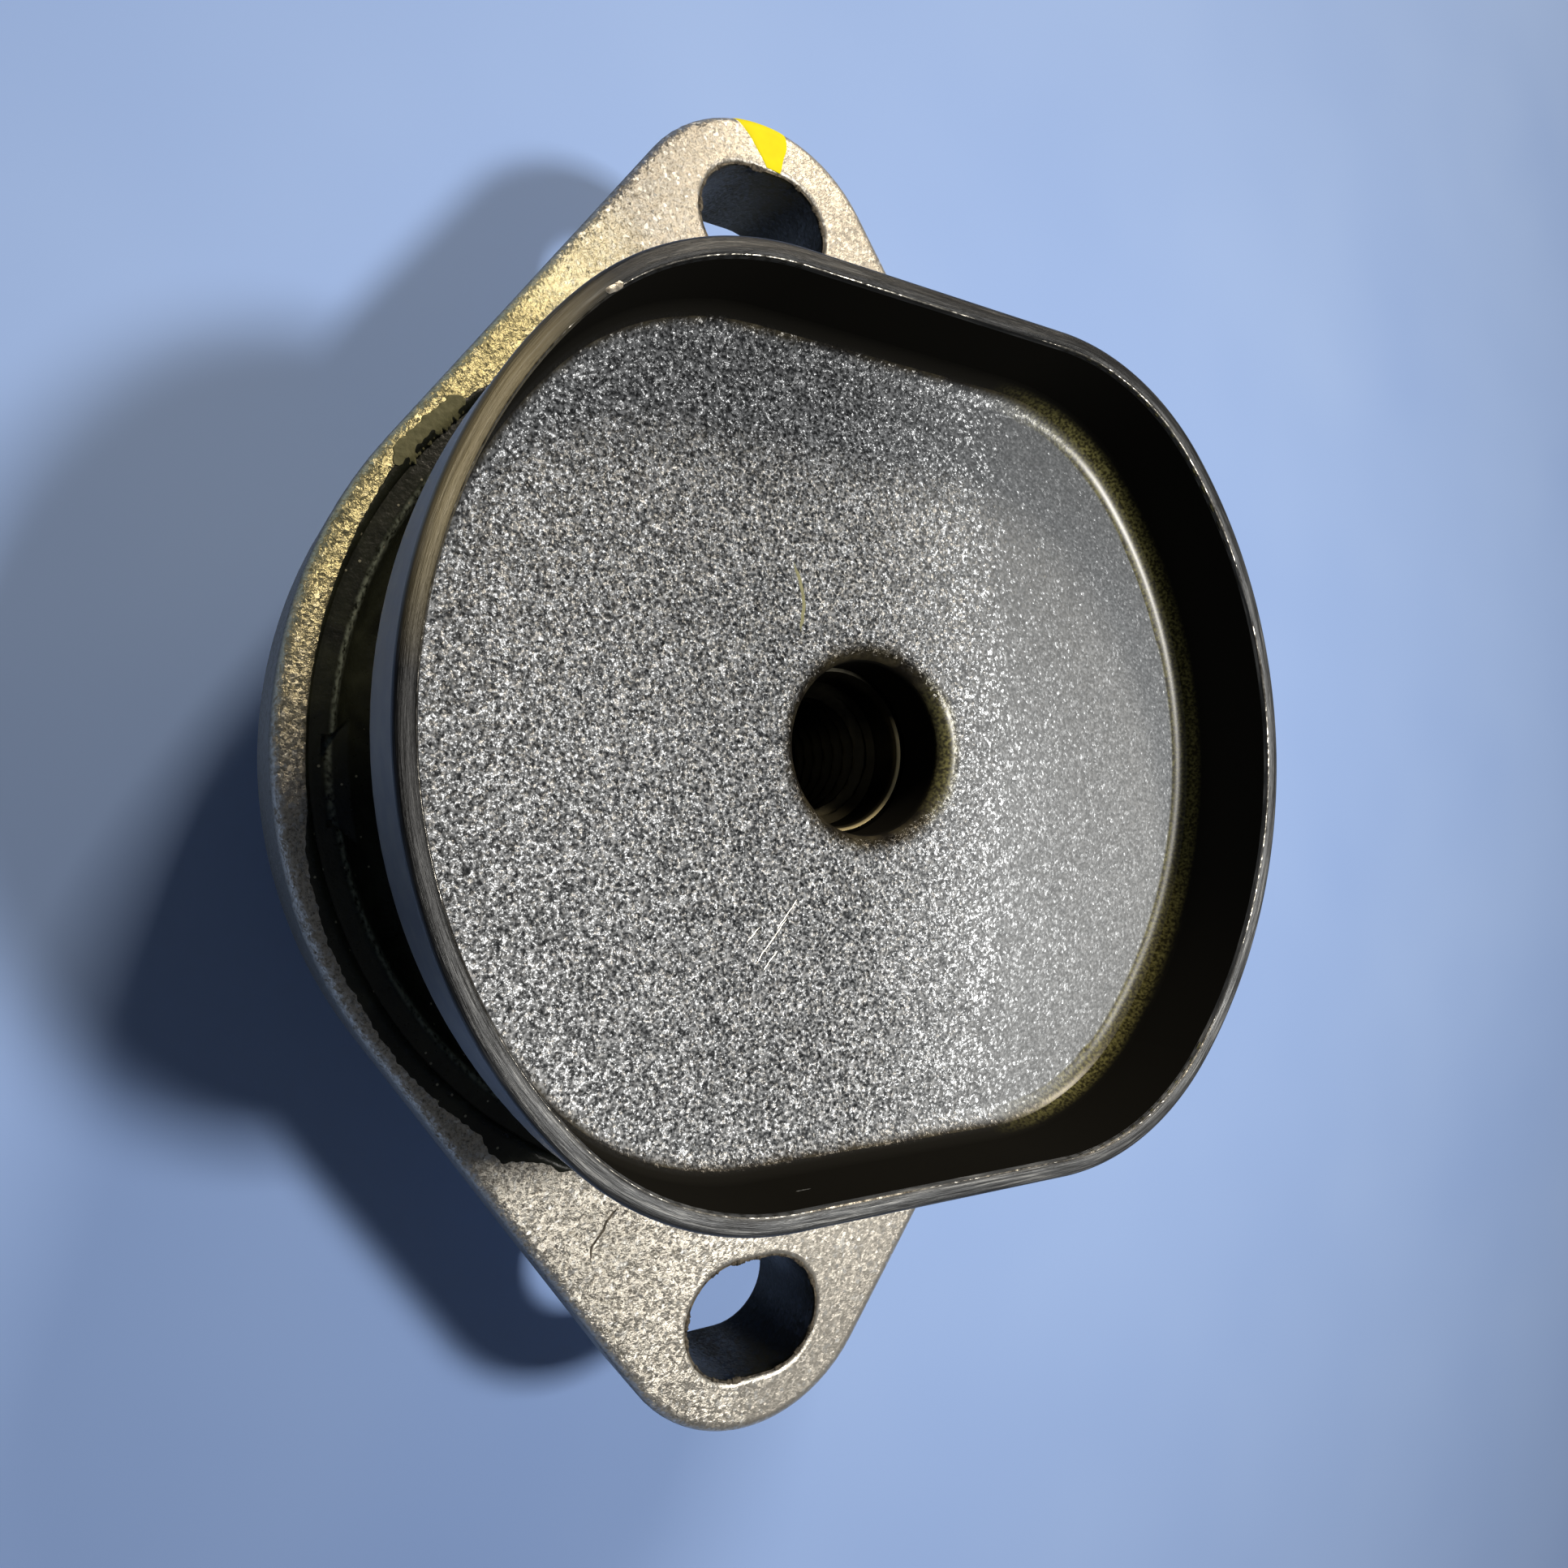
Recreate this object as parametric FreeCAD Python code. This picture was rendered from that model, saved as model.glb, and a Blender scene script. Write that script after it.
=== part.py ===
import FreeCAD, Part
import math
import os

# Hydraulic engine mount: a cast aluminium two-lug housing, a conical rubber
# spring bonded between it and a threaded core, a pressed steel dish seated on
# the core, and the fluid chamber parts crimped into the underside.
# Millimetres. Z is the mount's axis and points up, Y runs from lug to lug,
# and the origin is the centre of the base cup's underside.

# ---- flange housing, cast aluminium
hole_spacing = 108.0        # centre to centre of the two lug slots
slot_width = 11.0           # along Y, clearance for an M10 bolt
slot_length = 14.2          # along X, takes up the tolerance of the bracket
lug_radius = 14.5
lug_setback = 3.9           # the lug's tip circle sits this far inside the slot centre
lug_thickness = 12.0
body_radius = 43.8          # main circle of the flange
deck_height = 30.0          # flange top face above the base
cast_edge_radius = 1.2
slot_edge_radius = 0.6
rim_wall = 2.8              # metal left round the mouth of the rubber cavity
mouth_depth = 3.5           # straight part of the cavity below the deck
mouth_edge_radius = 0.7
neck_length = 2.5           # straight part between the cone and the shoulder
shoulder_width = 3.8        # step that the chamber parts are pressed against
ledge_width = 2.8           # the flange overhangs the spigot by this much
skirt_wall = 3.7            # wall of the spigot round the chamber parts
spigot_root_radius = 1.5
crimp_lip_thickness = 1.8
crimp_lip_width = 3.8       # how far the rolled lip reaches inwards
crimp_roll_radius = 2.6

# ---- fluid chamber stack, from the crimp upwards
stack_clearance = 0.1       # radial, between the stack and the bore
sheet_steel = 1.5           # base cup
cup_depth = 4.4             # bowl below the cup's flange
cup_flange_width = 6.2
cup_wall_spread = 4.0       # the bowl's wall leans out by this much
cup_bend_radius = 1.6
cup_wall_lean = 1.2         # the bowl wall's width, measured level
vent_radius = 1.5
bead_height = 2.2           # clamped rim of the diaphragm
bead_width = 3.6
ring_width = 2.0            # steel ring moulded into the diaphragm's rim
ring_height = 1.0
diaphragm_wall = 1.2
diaphragm_sag = 2.4         # depth of the rolling fold below the bead's middle
diaphragm_crown = 0.3       # middle of the diaphragm above the bead's middle
fold_start = 5.0            # flat margin inside the bead before the fold
fold_slope = 3.5            # width of the fold's outer and inner flank
fold_floor = 5.0            # width of the fold's flat bottom
fold_blend = 3.0
gasket_height = 0.6         # rubber between the shoulder and the upper plate

# ---- channel plates and decoupler
lower_plate_height = 3.5
upper_plate_height = 3.3
membrane_height = 2.6
membrane_bead = 1.6         # width of the thicker rim
membrane_web = 1.6          # thickness inside the rim
membrane_play = 0.4         # free travel of the decoupler in its pocket
membrane_side_gap = 0.4
lower_pocket_depth = 1.6
channel_rim = 6.7           # plate outside the inertia channel
channel_width = 5.0
channel_depth = 2.0         # cut into each plate
channel_angle = 300.0       # length of the channel round the plate
pocket_wall = 6.5           # plate between the channel and the decoupler's pocket
port_radius = 1.9
grid_hole_radius = 1.6
grid_rings = ((6.5, 6), (13.0, 12))   # radius and number of the grid holes
grid_centre_radius = 1.6

# ---- inner core, aluminium
core_top_radius = 17.0      # seat for the dish
core_flange_height = 3.0
core_cone_top_radius = 13.5
core_cone_bottom_radius = 9.5
core_height = 25.5
core_edge_radius = 0.8
core_root_radius = 3.0
counterbore_chamfer = 0.6   # clears the bend at the root of the dish's collar
pilot_radius = 6.5          # clearance for an M12 shank
pilot_depth = 3.3
pilot_chamfer = 0.5
thread_core_radius = 5.1    # M12 x 1.75 tapping size
thread_depth = 13.0
drill_point_depth = 2.5

# ---- stop dish, pressed steel
dish_radius = 40.0
dish_flat_half_width = 34.6  # the two flats stand this far from the axis
dish_sheet = 1.5
dish_floor_height = 19.5     # dish floor above the deck
dish_rim_height = 28.8       # dish rim above the deck
dish_bend_radius = 2.3       # inside, floor to wall
dish_corner_radius = 23.0    # between the round ends and the flats
dish_rim_break = 0.5
throat_radius = 7.3
throat_bend_radius = 1.9
collar_length = 5.5          # floor's top face down to the collar's end
collar_clearance = 0.05      # radial, collar in the core's counterbore
collar_end_gap = 0.3

# ---- rubber spring
spring_top_gap = 0.6         # rubber starts this far below the deck
ridge_width = 2.4            # wall lining at the mouth
ridge_height = 0.5           # ridge top stands this far below the deck
valley_depth = 5.2           # lowest ring of the upper surface below the deck
valley_inset = 8.5           # the valley lies this far inside the mouth
skin_setback = 1.6           # rubber round the core's head stops below the dish
core_skin = 1.5              # rubber round the core's head
saddle_run = 4.5             # hollow flank between the core's head and the valley
saddle_rise = 8.5
saddle_blend = 9.0
ridge_crown = 0.6
dome_blend = 4.0
lip_run = 2.5                # slope from the neck's lining into the dome
lip_rise = 3.6
neck_lining = 2.0            # rubber inside the neck
under_core_skin = 1.5
dome_drop = 6.1              # top of the fluid side dome below the deck
dome_radius = 19.0
notch_width = 7.3            # gap between the ends of the two stop pads
notch_offset = -3.3          # middle of the -X gap along Y, the +X gap is its half turn
notch_depth = 3.4
notch_reach = 5.4            # length towards the core
notch_flare = 1.6            # rounds the inner corners of the pads' ends
notch_skin = 1.0             # rubber left on the wall behind a notch

# ---- radii worked out from the flange inwards
mouth_radius = body_radius - rim_wall
spigot_radius = body_radius - ledge_width
bore_radius = spigot_radius - skirt_wall
neck_radius = bore_radius - shoulder_width
crimp_inner_radius = bore_radius - crimp_lip_width
stack_radius = bore_radius - stack_clearance
cup_wall_radius = stack_radius - cup_flange_width
cup_floor_radius = cup_wall_radius - cup_wall_spread
channel_radius = stack_radius - channel_rim - channel_width / 2
pocket_radius = channel_radius - channel_width / 2 - pocket_wall
membrane_radius = pocket_radius - membrane_side_gap
valley_radius = mouth_radius - valley_inset
collar_radius = throat_radius + dish_sheet
counterbore_radius = collar_radius + collar_clearance

# ---- heights worked out from the base upwards
crimp_bottom_z = cup_depth - crimp_lip_thickness
bead_z = cup_depth + sheet_steel
lower_plate_z = bead_z + bead_height
upper_plate_z = lower_plate_z + lower_plate_height
upper_plate_top = upper_plate_z + upper_plate_height
shoulder_z = upper_plate_top + gasket_height
neck_z = shoulder_z + neck_length
lug_bottom_z = deck_height - lug_thickness
dish_floor_z = deck_height + dish_floor_height
dish_seat_z = dish_floor_z - dish_sheet
dish_rim_z = deck_height + dish_rim_height
collar_end_z = dish_floor_z - collar_length
counterbore_z = collar_end_z - collar_end_gap
thread_z = counterbore_z - pilot_depth
core_bottom_z = dish_seat_z - core_height
core_flange_z = dish_seat_z - core_flange_height
upper_pocket_depth = membrane_height + membrane_play - lower_pocket_depth

OVERSHOOT = 1.0             # how far a cutting tool runs past a face
LIMIT = 0.45                # share of a straight run that one corner may use
CORNER_SHARE = 0.9          # largest dish corner, as a share of the flat's distance


def vec(x, y, z):
    return FreeCAD.Vector(x, y, z)


def rounded_wire(corners):
    """Closed wire in the XZ plane through (radius, height, corner radius)."""
    points = [vec(c[0], 0, c[1]) for c in corners]
    count = len(points)
    spans = []
    for i, corner in enumerate(corners):
        here = points[i]
        back = points[i - 1] - here
        ahead = points[(i + 1) % count] - here
        radius = corner[2] if len(corner) > 2 else 0.0
        turn = math.pi - back.getAngle(ahead)
        if radius <= 0 or turn < 1e-6:
            spans.append((here, here, here))
            continue
        trim = radius * math.tan(turn / 2)
        trim = min(trim, LIMIT * back.Length, LIMIT * ahead.Length)
        radius = trim / math.tan(turn / 2)
        start = here + vec(*back).normalize() * trim
        end = here + vec(*ahead).normalize() * trim
        inward = (start + end) * 0.5 - here
        centre_distance = math.hypot(radius, trim)
        middle = here + inward.normalize() * (centre_distance - radius)
        spans.append((start, middle, end))
    edges = []
    for i, (start, middle, end) in enumerate(spans):
        if start != end:
            edges.append(Part.Arc(start, middle, end).toShape())
        following = spans[(i + 1) % count][0]
        if end.distanceToPoint(following) > 1e-7:
            edges.append(Part.makeLine(end, following))
    return Part.Wire(Part.__sortEdges__(edges))


def turned(corners):
    """Solid of revolution about Z from a rounded section."""
    face = Part.Face(rounded_wire(corners))
    return face.revolve(vec(0, 0, 0), vec(0, 0, 1), 360)


def drum(radius, bottom, top):
    return Part.makeCylinder(radius, top - bottom, vec(0, 0, bottom))


def round_edges(shape, radius, chosen):
    """Fillet the edges that the test picks out."""
    edges = [e for e in shape.Edges if chosen(e)]
    return shape.makeFillet(radius, edges) if edges else shape


def lies_at(height):
    """Test for an edge that lies flat at one height."""
    def test(edge):
        box = edge.BoundBox
        return abs(box.ZMin - height) < 1e-4 and abs(box.ZMax - height) < 1e-4
    return test


# ---- flange housing

def flange_outline():
    """Main circle and two lug circles joined by their outer tangents."""
    lug_y = hole_spacing / 2 - lug_setback
    lean = math.asin((body_radius - lug_radius) / lug_y)
    side = vec(math.cos(lean), math.sin(lean), 0)

    def tangent(centre_y, radius, sx, sy):
        return vec(sx * radius * side.x, sy * (centre_y + radius * side.y), 0)

    edges = []
    for sx in (1, -1):
        side_point = vec(sx * body_radius, 0, 0)
        body_rear = tangent(0, body_radius, sx, 1)
        body_front = tangent(0, body_radius, sx, -1)
        edges.append(Part.Arc(body_front, side_point, body_rear).toShape())
        edges.append(Part.makeLine(body_rear, tangent(lug_y, lug_radius, sx, 1)))
        edges.append(Part.makeLine(body_front, tangent(lug_y, lug_radius, sx, -1)))
    for sy in (1, -1):
        tip = vec(0, sy * (lug_y + lug_radius), 0)
        lug_right = tangent(lug_y, lug_radius, 1, sy)
        lug_left = tangent(lug_y, lug_radius, -1, sy)
        edges.append(Part.Arc(lug_right, tip, lug_left).toShape())
    return Part.Wire(Part.__sortEdges__(edges))


def lug_slot(centre_y):
    """Cutter for one oblong bolt hole, its long axis along X."""
    end_radius = slot_width / 2
    reach = (slot_length - slot_width) / 2
    height = lug_thickness + 2 * OVERSHOOT
    base = lug_bottom_z - OVERSHOOT
    cutter = Part.makeBox(2 * reach, slot_width, height, vec(-reach, centre_y - end_radius, base))
    for sx in (1, -1):
        cutter = cutter.fuse(Part.makeCylinder(end_radius, height, vec(sx * reach, centre_y, base)))
    return cutter.removeSplitter()


def housing_cavity():
    """Space for the rubber above the neck and for the chamber stack below it."""
    lip_edge = crimp_lip_thickness * LIMIT
    return turned([
        (0, crimp_bottom_z - OVERSHOOT),
        (crimp_inner_radius, crimp_bottom_z - OVERSHOOT),
        (crimp_inner_radius, cup_depth, lip_edge),
        (bore_radius, cup_depth),
        (bore_radius, shoulder_z),
        (neck_radius, shoulder_z),
        (neck_radius, neck_z),
        (mouth_radius, deck_height - mouth_depth),
        (mouth_radius, deck_height + OVERSHOOT),
        (0, deck_height + OVERSHOOT),
    ])


def flange_housing():
    plate = Part.Face(flange_outline()).extrude(vec(0, 0, lug_thickness))
    plate.translate(vec(0, 0, lug_bottom_z))
    for face_z in (deck_height, lug_bottom_z):
        plate = round_edges(plate, cast_edge_radius, lies_at(face_z))
    spigot = turned([
        (0, crimp_bottom_z),
        (spigot_radius, crimp_bottom_z, crimp_roll_radius),
        (spigot_radius, lug_bottom_z + OVERSHOOT),
        (0, lug_bottom_z + OVERSHOOT),
    ])
    casting = plate.fuse(spigot).removeSplitter()

    def spigot_root(edge):
        round_body = abs(edge.BoundBox.XMax - spigot_radius) < 1e-3
        return lies_at(lug_bottom_z)(edge) and round_body

    casting = round_edges(casting, spigot_root_radius, spigot_root)
    casting = casting.cut(housing_cavity())
    for sy in (1, -1):
        casting = casting.cut(lug_slot(sy * hole_spacing / 2))

    def mouth_edge(edge):
        box = edge.BoundBox
        return lies_at(deck_height)(edge) and abs(box.YLength - 2 * mouth_radius) < 0.1

    def slot_edge(edge):
        inside = abs(abs(edge.CenterOfMass.y) - hole_spacing / 2) < slot_width / 2 + 0.1
        narrow = abs(edge.CenterOfMass.x) < slot_length / 2 + 0.1
        flat = lies_at(deck_height)(edge) or lies_at(lug_bottom_z)(edge)
        return inside and narrow and flat

    casting = round_edges(casting, mouth_edge_radius, mouth_edge)
    return round_edges(casting, slot_edge_radius, slot_edge)


# ---- core and dish

def inner_core():
    """Stepped aluminium core with a blind threaded bore."""
    body = core_envelope()
    thread_end = thread_z - thread_depth
    bore = turned([
        (0, dish_seat_z + OVERSHOOT),
        (counterbore_radius + counterbore_chamfer, dish_seat_z + OVERSHOOT),
        (counterbore_radius + counterbore_chamfer, dish_seat_z),
        (counterbore_radius, dish_seat_z - counterbore_chamfer),
        (counterbore_radius, counterbore_z),
        (pilot_radius + pilot_chamfer, counterbore_z),
        (pilot_radius, counterbore_z - pilot_chamfer),
        (pilot_radius, thread_z),
        (thread_core_radius, thread_z - (pilot_radius - thread_core_radius)),
        (thread_core_radius, thread_end),
        (0, thread_end - drill_point_depth),
    ])
    return body.cut(bore)


def double_d(radius, half_width, corner, bottom, top):
    """Round block with two flats facing +Y and -Y, joined by large corner arcs."""
    corner = min(corner, CORNER_SHARE * half_width)
    reach = radius - corner
    lift = half_width - corner
    turn = math.asin(lift / reach)
    corner_x = reach * math.cos(turn)
    edges = []
    for side in (1, -1):
        for end in (1, -1):
            centre = vec(end * corner_x, side * lift, bottom)
            flat_end = centre + vec(0, side * corner, 0)
            middle_turn = (turn + math.pi / 2) / 2
            middle = centre + vec(end * math.cos(middle_turn), side * math.sin(middle_turn), 0) * corner
            round_end = vec(end * radius * math.cos(turn), side * radius * math.sin(turn), bottom)
            edges.append(Part.Arc(flat_end, middle, round_end).toShape())
        flat_y = side * half_width
        edges.append(Part.makeLine(vec(-corner_x, flat_y, bottom), vec(corner_x, flat_y, bottom)))
        lower = vec(side * radius * math.cos(turn), -radius * math.sin(turn), bottom)
        upper = vec(side * radius * math.cos(turn), radius * math.sin(turn), bottom)
        edges.append(Part.Arc(lower, vec(side * radius, 0, bottom), upper).toShape())
    outline = Part.Wire(Part.__sortEdges__(edges))
    return Part.Face(outline).extrude(vec(0, 0, top - bottom))


def stop_dish():
    """Pressed dish: floor, drawn-down collar and an upright wall all round."""
    outer = double_d(dish_radius, dish_flat_half_width, dish_corner_radius, dish_seat_z, dish_rim_z)
    outer = round_edges(outer, dish_bend_radius + dish_sheet, lies_at(dish_seat_z))
    inner = double_d(
        dish_radius - dish_sheet,
        dish_flat_half_width - dish_sheet,
        dish_corner_radius - dish_sheet,
        dish_floor_z,
        dish_rim_z + OVERSHOOT,
    )
    inner = round_edges(inner, dish_bend_radius, lies_at(dish_floor_z))
    shell = outer.cut(inner)
    shell = round_edges(shell, dish_rim_break, lies_at(dish_rim_z))
    blank_radius = throat_radius + throat_bend_radius + dish_sheet
    shell = shell.cut(drum(blank_radius, dish_seat_z - OVERSHOOT, dish_floor_z + OVERSHOOT))
    under_bend = throat_bend_radius - dish_sheet
    collar = turned([
        (blank_radius, dish_floor_z),
        (throat_radius, dish_floor_z, throat_bend_radius),
        (throat_radius, collar_end_z),
        (collar_radius, collar_end_z),
        (collar_radius, dish_seat_z, under_bend),
        (blank_radius, dish_seat_z),
    ])
    return shell.fuse(collar).removeSplitter()


# ---- rubber spring

def core_envelope():
    """The core's outside, without its bore."""
    return turned([
        (0, core_bottom_z),
        (core_cone_bottom_radius, core_bottom_z, core_root_radius),
        (core_cone_top_radius, core_flange_z, core_root_radius),
        (core_top_radius, core_flange_z, core_edge_radius),
        (core_top_radius, dish_seat_z, core_edge_radius),
        (0, dish_seat_z),
    ])


def notch(side):
    """Cutter for the gap between the two stop pads, flared towards the core."""
    outer = mouth_radius - notch_skin
    inner = outer - notch_reach
    neck = mouth_radius - ridge_width + notch_flare / 2
    half = notch_width / 2
    wide = half + notch_flare
    floor = deck_height - notch_depth
    top = deck_height + OVERSHOOT
    plan = [(outer, -half), (neck, -half), (neck - notch_flare, -wide), (inner, -wide)]
    plan += [(x, -y) for x, y in reversed(plan)]
    points = [vec(side * x, side * y - side * notch_offset, floor) for x, y in plan]
    cutter = Part.Face(Part.makePolygon(points + points[:1])).extrude(vec(0, 0, top - floor))
    return cutter.common(drum(outer, floor, top))


def rubber_spring():
    """One moulding from the core, over the cone, down to the neck's gasket."""
    lining = mouth_radius - ridge_width
    crest = deck_height - ridge_height
    valley = deck_height - valley_depth
    skin_top = dish_seat_z - skin_setback
    neck_inside = neck_radius - neck_lining
    body = turned([
        (0, core_bottom_z - under_core_skin),
        (core_cone_bottom_radius, core_bottom_z - under_core_skin, dome_blend),
        (dome_radius, deck_height - dome_drop, dome_blend),
        (neck_inside - lip_run, upper_plate_top + lip_rise, dome_blend),
        (neck_inside, upper_plate_top),
        (bore_radius, upper_plate_top),
        (bore_radius, shoulder_z),
        (neck_radius, shoulder_z),
        (neck_radius, neck_z),
        (mouth_radius, deck_height - mouth_depth),
        (mouth_radius, deck_height - spring_top_gap),
        (lining + ridge_crown, crest, ridge_crown),
        (lining - ridge_crown, valley + lip_rise / 2, dome_blend),
        (valley_radius, valley, dome_blend),
        (core_top_radius + saddle_run, valley + saddle_rise, saddle_blend),
        (core_top_radius + core_skin, skin_top, ridge_crown),
        (0, skin_top),
    ])
    body = body.cut(core_envelope())
    for side in (1, -1):
        body = body.cut(notch(side))
    return body


# ---- fluid chamber

def polar(radius, degrees, height):
    turn = math.radians(degrees)
    return vec(radius * math.cos(turn), radius * math.sin(turn), height)


def channel_cutter(bottom, top):
    """Curved trench round the plate, with round ends, short of a full circle."""
    outer = channel_radius + channel_width / 2
    inner = channel_radius - channel_width / 2
    trench = Part.makeCylinder(outer, top - bottom, vec(0, 0, bottom), vec(0, 0, 1), channel_angle)
    trench = trench.cut(drum(inner, bottom, top))
    for degrees in (0, channel_angle):
        end = Part.makeCylinder(channel_width / 2, top - bottom, polar(channel_radius, degrees, bottom))
        trench = trench.fuse(end)
    return trench.removeSplitter()


def grid_holes(bottom, top):
    """Holes through which the fluid reaches the decoupler, ring by ring."""
    holes = [Part.makeCylinder(grid_centre_radius, top - bottom, vec(0, 0, bottom))]
    for ring_radius, count in grid_rings:
        for i in range(count):
            place = polar(ring_radius, 360 * i / count, bottom)
            holes.append(Part.makeCylinder(grid_hole_radius, top - bottom, place))
    return Part.makeCompound(holes)


def channel_plate(bottom, top, mating_face, pocket_depth, port_degrees):
    """Die-cast plate: half the channel, half the decoupler pocket, one port."""
    plate = drum(stack_radius, bottom, top)
    if mating_face == top:
        recess = (top - pocket_depth, top + OVERSHOOT)
        trench = (top - channel_depth, top + OVERSHOOT)
    else:
        recess = (bottom - OVERSHOOT, bottom + pocket_depth)
        trench = (bottom - OVERSHOOT, bottom + channel_depth)
    plate = plate.cut(drum(pocket_radius, *recess))
    plate = plate.cut(channel_cutter(*trench))
    plate = plate.cut(grid_holes(bottom - OVERSHOOT, top + OVERSHOOT))
    place = polar(channel_radius, port_degrees, bottom - OVERSHOOT)
    port = Part.makeCylinder(port_radius, top - bottom + 2 * OVERSHOOT, place)
    return plate.cut(port)


def lower_channel_plate():
    return channel_plate(lower_plate_z, upper_plate_z, upper_plate_z, lower_pocket_depth, channel_angle)


def upper_channel_plate():
    return channel_plate(upper_plate_z, upper_plate_top, upper_plate_z, upper_pocket_depth, 0)


def decoupler_membrane():
    """Loose rubber disc with a thicker rim, resting on the lower pocket's floor."""
    floor = upper_plate_z - lower_pocket_depth
    web = (membrane_height - membrane_web) / 2
    web_radius = membrane_radius - membrane_bead
    return turned([
        (0, floor + web),
        (web_radius, floor + web, web / 2),
        (web_radius, floor, web / 2),
        (membrane_radius, floor, web / 2),
        (membrane_radius, floor + membrane_height, web / 2),
        (web_radius, floor + membrane_height, web / 2),
        (web_radius, floor + membrane_height - web, web / 2),
        (0, floor + membrane_height - web),
    ])


def ring_section():
    """Place of the steel ring in the middle of the diaphragm's rim."""
    middle = stack_radius - bead_width / 2
    bottom = bead_z + (bead_height - ring_height) / 2
    return middle - ring_width / 2, middle + ring_width / 2, bottom, bottom + ring_height


def diaphragm_ring():
    inner, outer, bottom, top = ring_section()
    return drum(outer, bottom, top).cut(drum(inner, bottom, top))


def diaphragm():
    """Thin rolling bellows with a thick rim moulded round its steel ring."""
    half = diaphragm_wall / 2
    rim = stack_radius - bead_width
    level = bead_z + bead_height / 2
    sag = level - diaphragm_sag
    crown = level + diaphragm_crown

    def skin(offset):
        outer = rim - fold_start
        return [
            (outer, level + offset, fold_blend),
            (outer - fold_slope, sag + offset, fold_blend),
            (outer - fold_slope - fold_floor, sag + offset, fold_blend),
            (outer - 2 * fold_slope - fold_floor, crown + offset, fold_blend),
        ]

    body = turned(
        [(0, crown - half)]
        + skin(-half)[::-1]
        + [
            (rim, level - half),
            (rim, bead_z),
            (stack_radius, bead_z),
            (stack_radius, lower_plate_z),
            (rim, lower_plate_z),
            (rim, level + half),
        ]
        + skin(half)
        + [(0, crown + half)]
    )
    return body.cut(diaphragm_ring())


def base_cup():
    """Pressed steel closing cup with a crimped flange and a vent."""
    cup = turned([
        (0, 0),
        (cup_floor_radius, 0, cup_bend_radius + sheet_steel),
        (cup_wall_radius, cup_depth, cup_bend_radius),
        (stack_radius, cup_depth),
        (stack_radius, bead_z),
        (cup_wall_radius - cup_wall_lean, bead_z, cup_bend_radius + sheet_steel),
        (cup_floor_radius - cup_wall_lean, sheet_steel, cup_bend_radius),
        (0, sheet_steel),
    ])
    return cup.cut(drum(vent_radius, -OVERSHOOT, sheet_steel + OVERSHOOT))


if __name__ == "__main__":
    os.makedirs("parts", exist_ok=True)
    nodes = {
        "flange_housing": flange_housing(),
        "inner_core": inner_core(),
        "stop_dish": stop_dish(),
        "rubber_spring": rubber_spring(),
        "upper_channel_plate": upper_channel_plate(),
        "lower_channel_plate": lower_channel_plate(),
        "decoupler_membrane": decoupler_membrane(),
        "diaphragm": diaphragm(),
        "diaphragm_ring": diaphragm_ring(),
        "base_cup": base_cup(),
    }
    for name, shape in nodes.items():
        print(name, shape.isValid(), len(shape.Solids), round(shape.Volume))
        shape.exportStep("parts/%s.step" % name)
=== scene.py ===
import math

import bpy
import numpy as np
from mathutils import Matrix, Vector


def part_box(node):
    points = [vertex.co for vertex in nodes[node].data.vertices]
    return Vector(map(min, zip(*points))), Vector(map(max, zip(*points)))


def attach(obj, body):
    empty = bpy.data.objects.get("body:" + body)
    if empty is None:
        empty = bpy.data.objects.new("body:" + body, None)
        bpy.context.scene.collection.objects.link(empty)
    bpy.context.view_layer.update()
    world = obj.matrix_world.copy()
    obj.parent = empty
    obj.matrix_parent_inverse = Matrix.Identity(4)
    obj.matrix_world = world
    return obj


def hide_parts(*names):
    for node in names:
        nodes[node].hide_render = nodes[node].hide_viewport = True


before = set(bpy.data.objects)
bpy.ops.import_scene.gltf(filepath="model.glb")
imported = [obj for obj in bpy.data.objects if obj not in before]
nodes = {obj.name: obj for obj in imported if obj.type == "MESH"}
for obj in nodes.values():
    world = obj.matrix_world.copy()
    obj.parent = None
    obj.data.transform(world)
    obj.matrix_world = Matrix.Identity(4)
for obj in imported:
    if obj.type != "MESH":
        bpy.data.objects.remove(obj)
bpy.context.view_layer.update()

# Looks of a hydraulic engine mount: a cast two-lug housing, a bonded rubber
# spring, a turned core and a pressed stop dish. Sizes in the dictionaries are
# millimetres, and they are turned to metres where a mesh is made.

mm = 0.001


def corners(name):
    # lowest and highest corner of a node in millimetres
    low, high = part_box(name)
    return np.array(low) / mm, np.array(high) / mm


lugTip, deckHeight = corners("flange_housing")[1][1:]
dishSide, rimHeight = corners("stop_dish")[1][1:]
coreBase, seatHeight = [corner[2] for corner in corners("inner_core")]
slot = {"spacing": 108.0, "width": 11.0, "length": 14.2}
print("frame: deck %.1f, dish seat %.1f, rim %.1f mm" % (deckHeight, seatHeight, rimHeight))


# helpers for shapes

arcs = {"sideShare": 0.45, "pointsPerRadian": 8, "fewest": 3}


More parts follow.
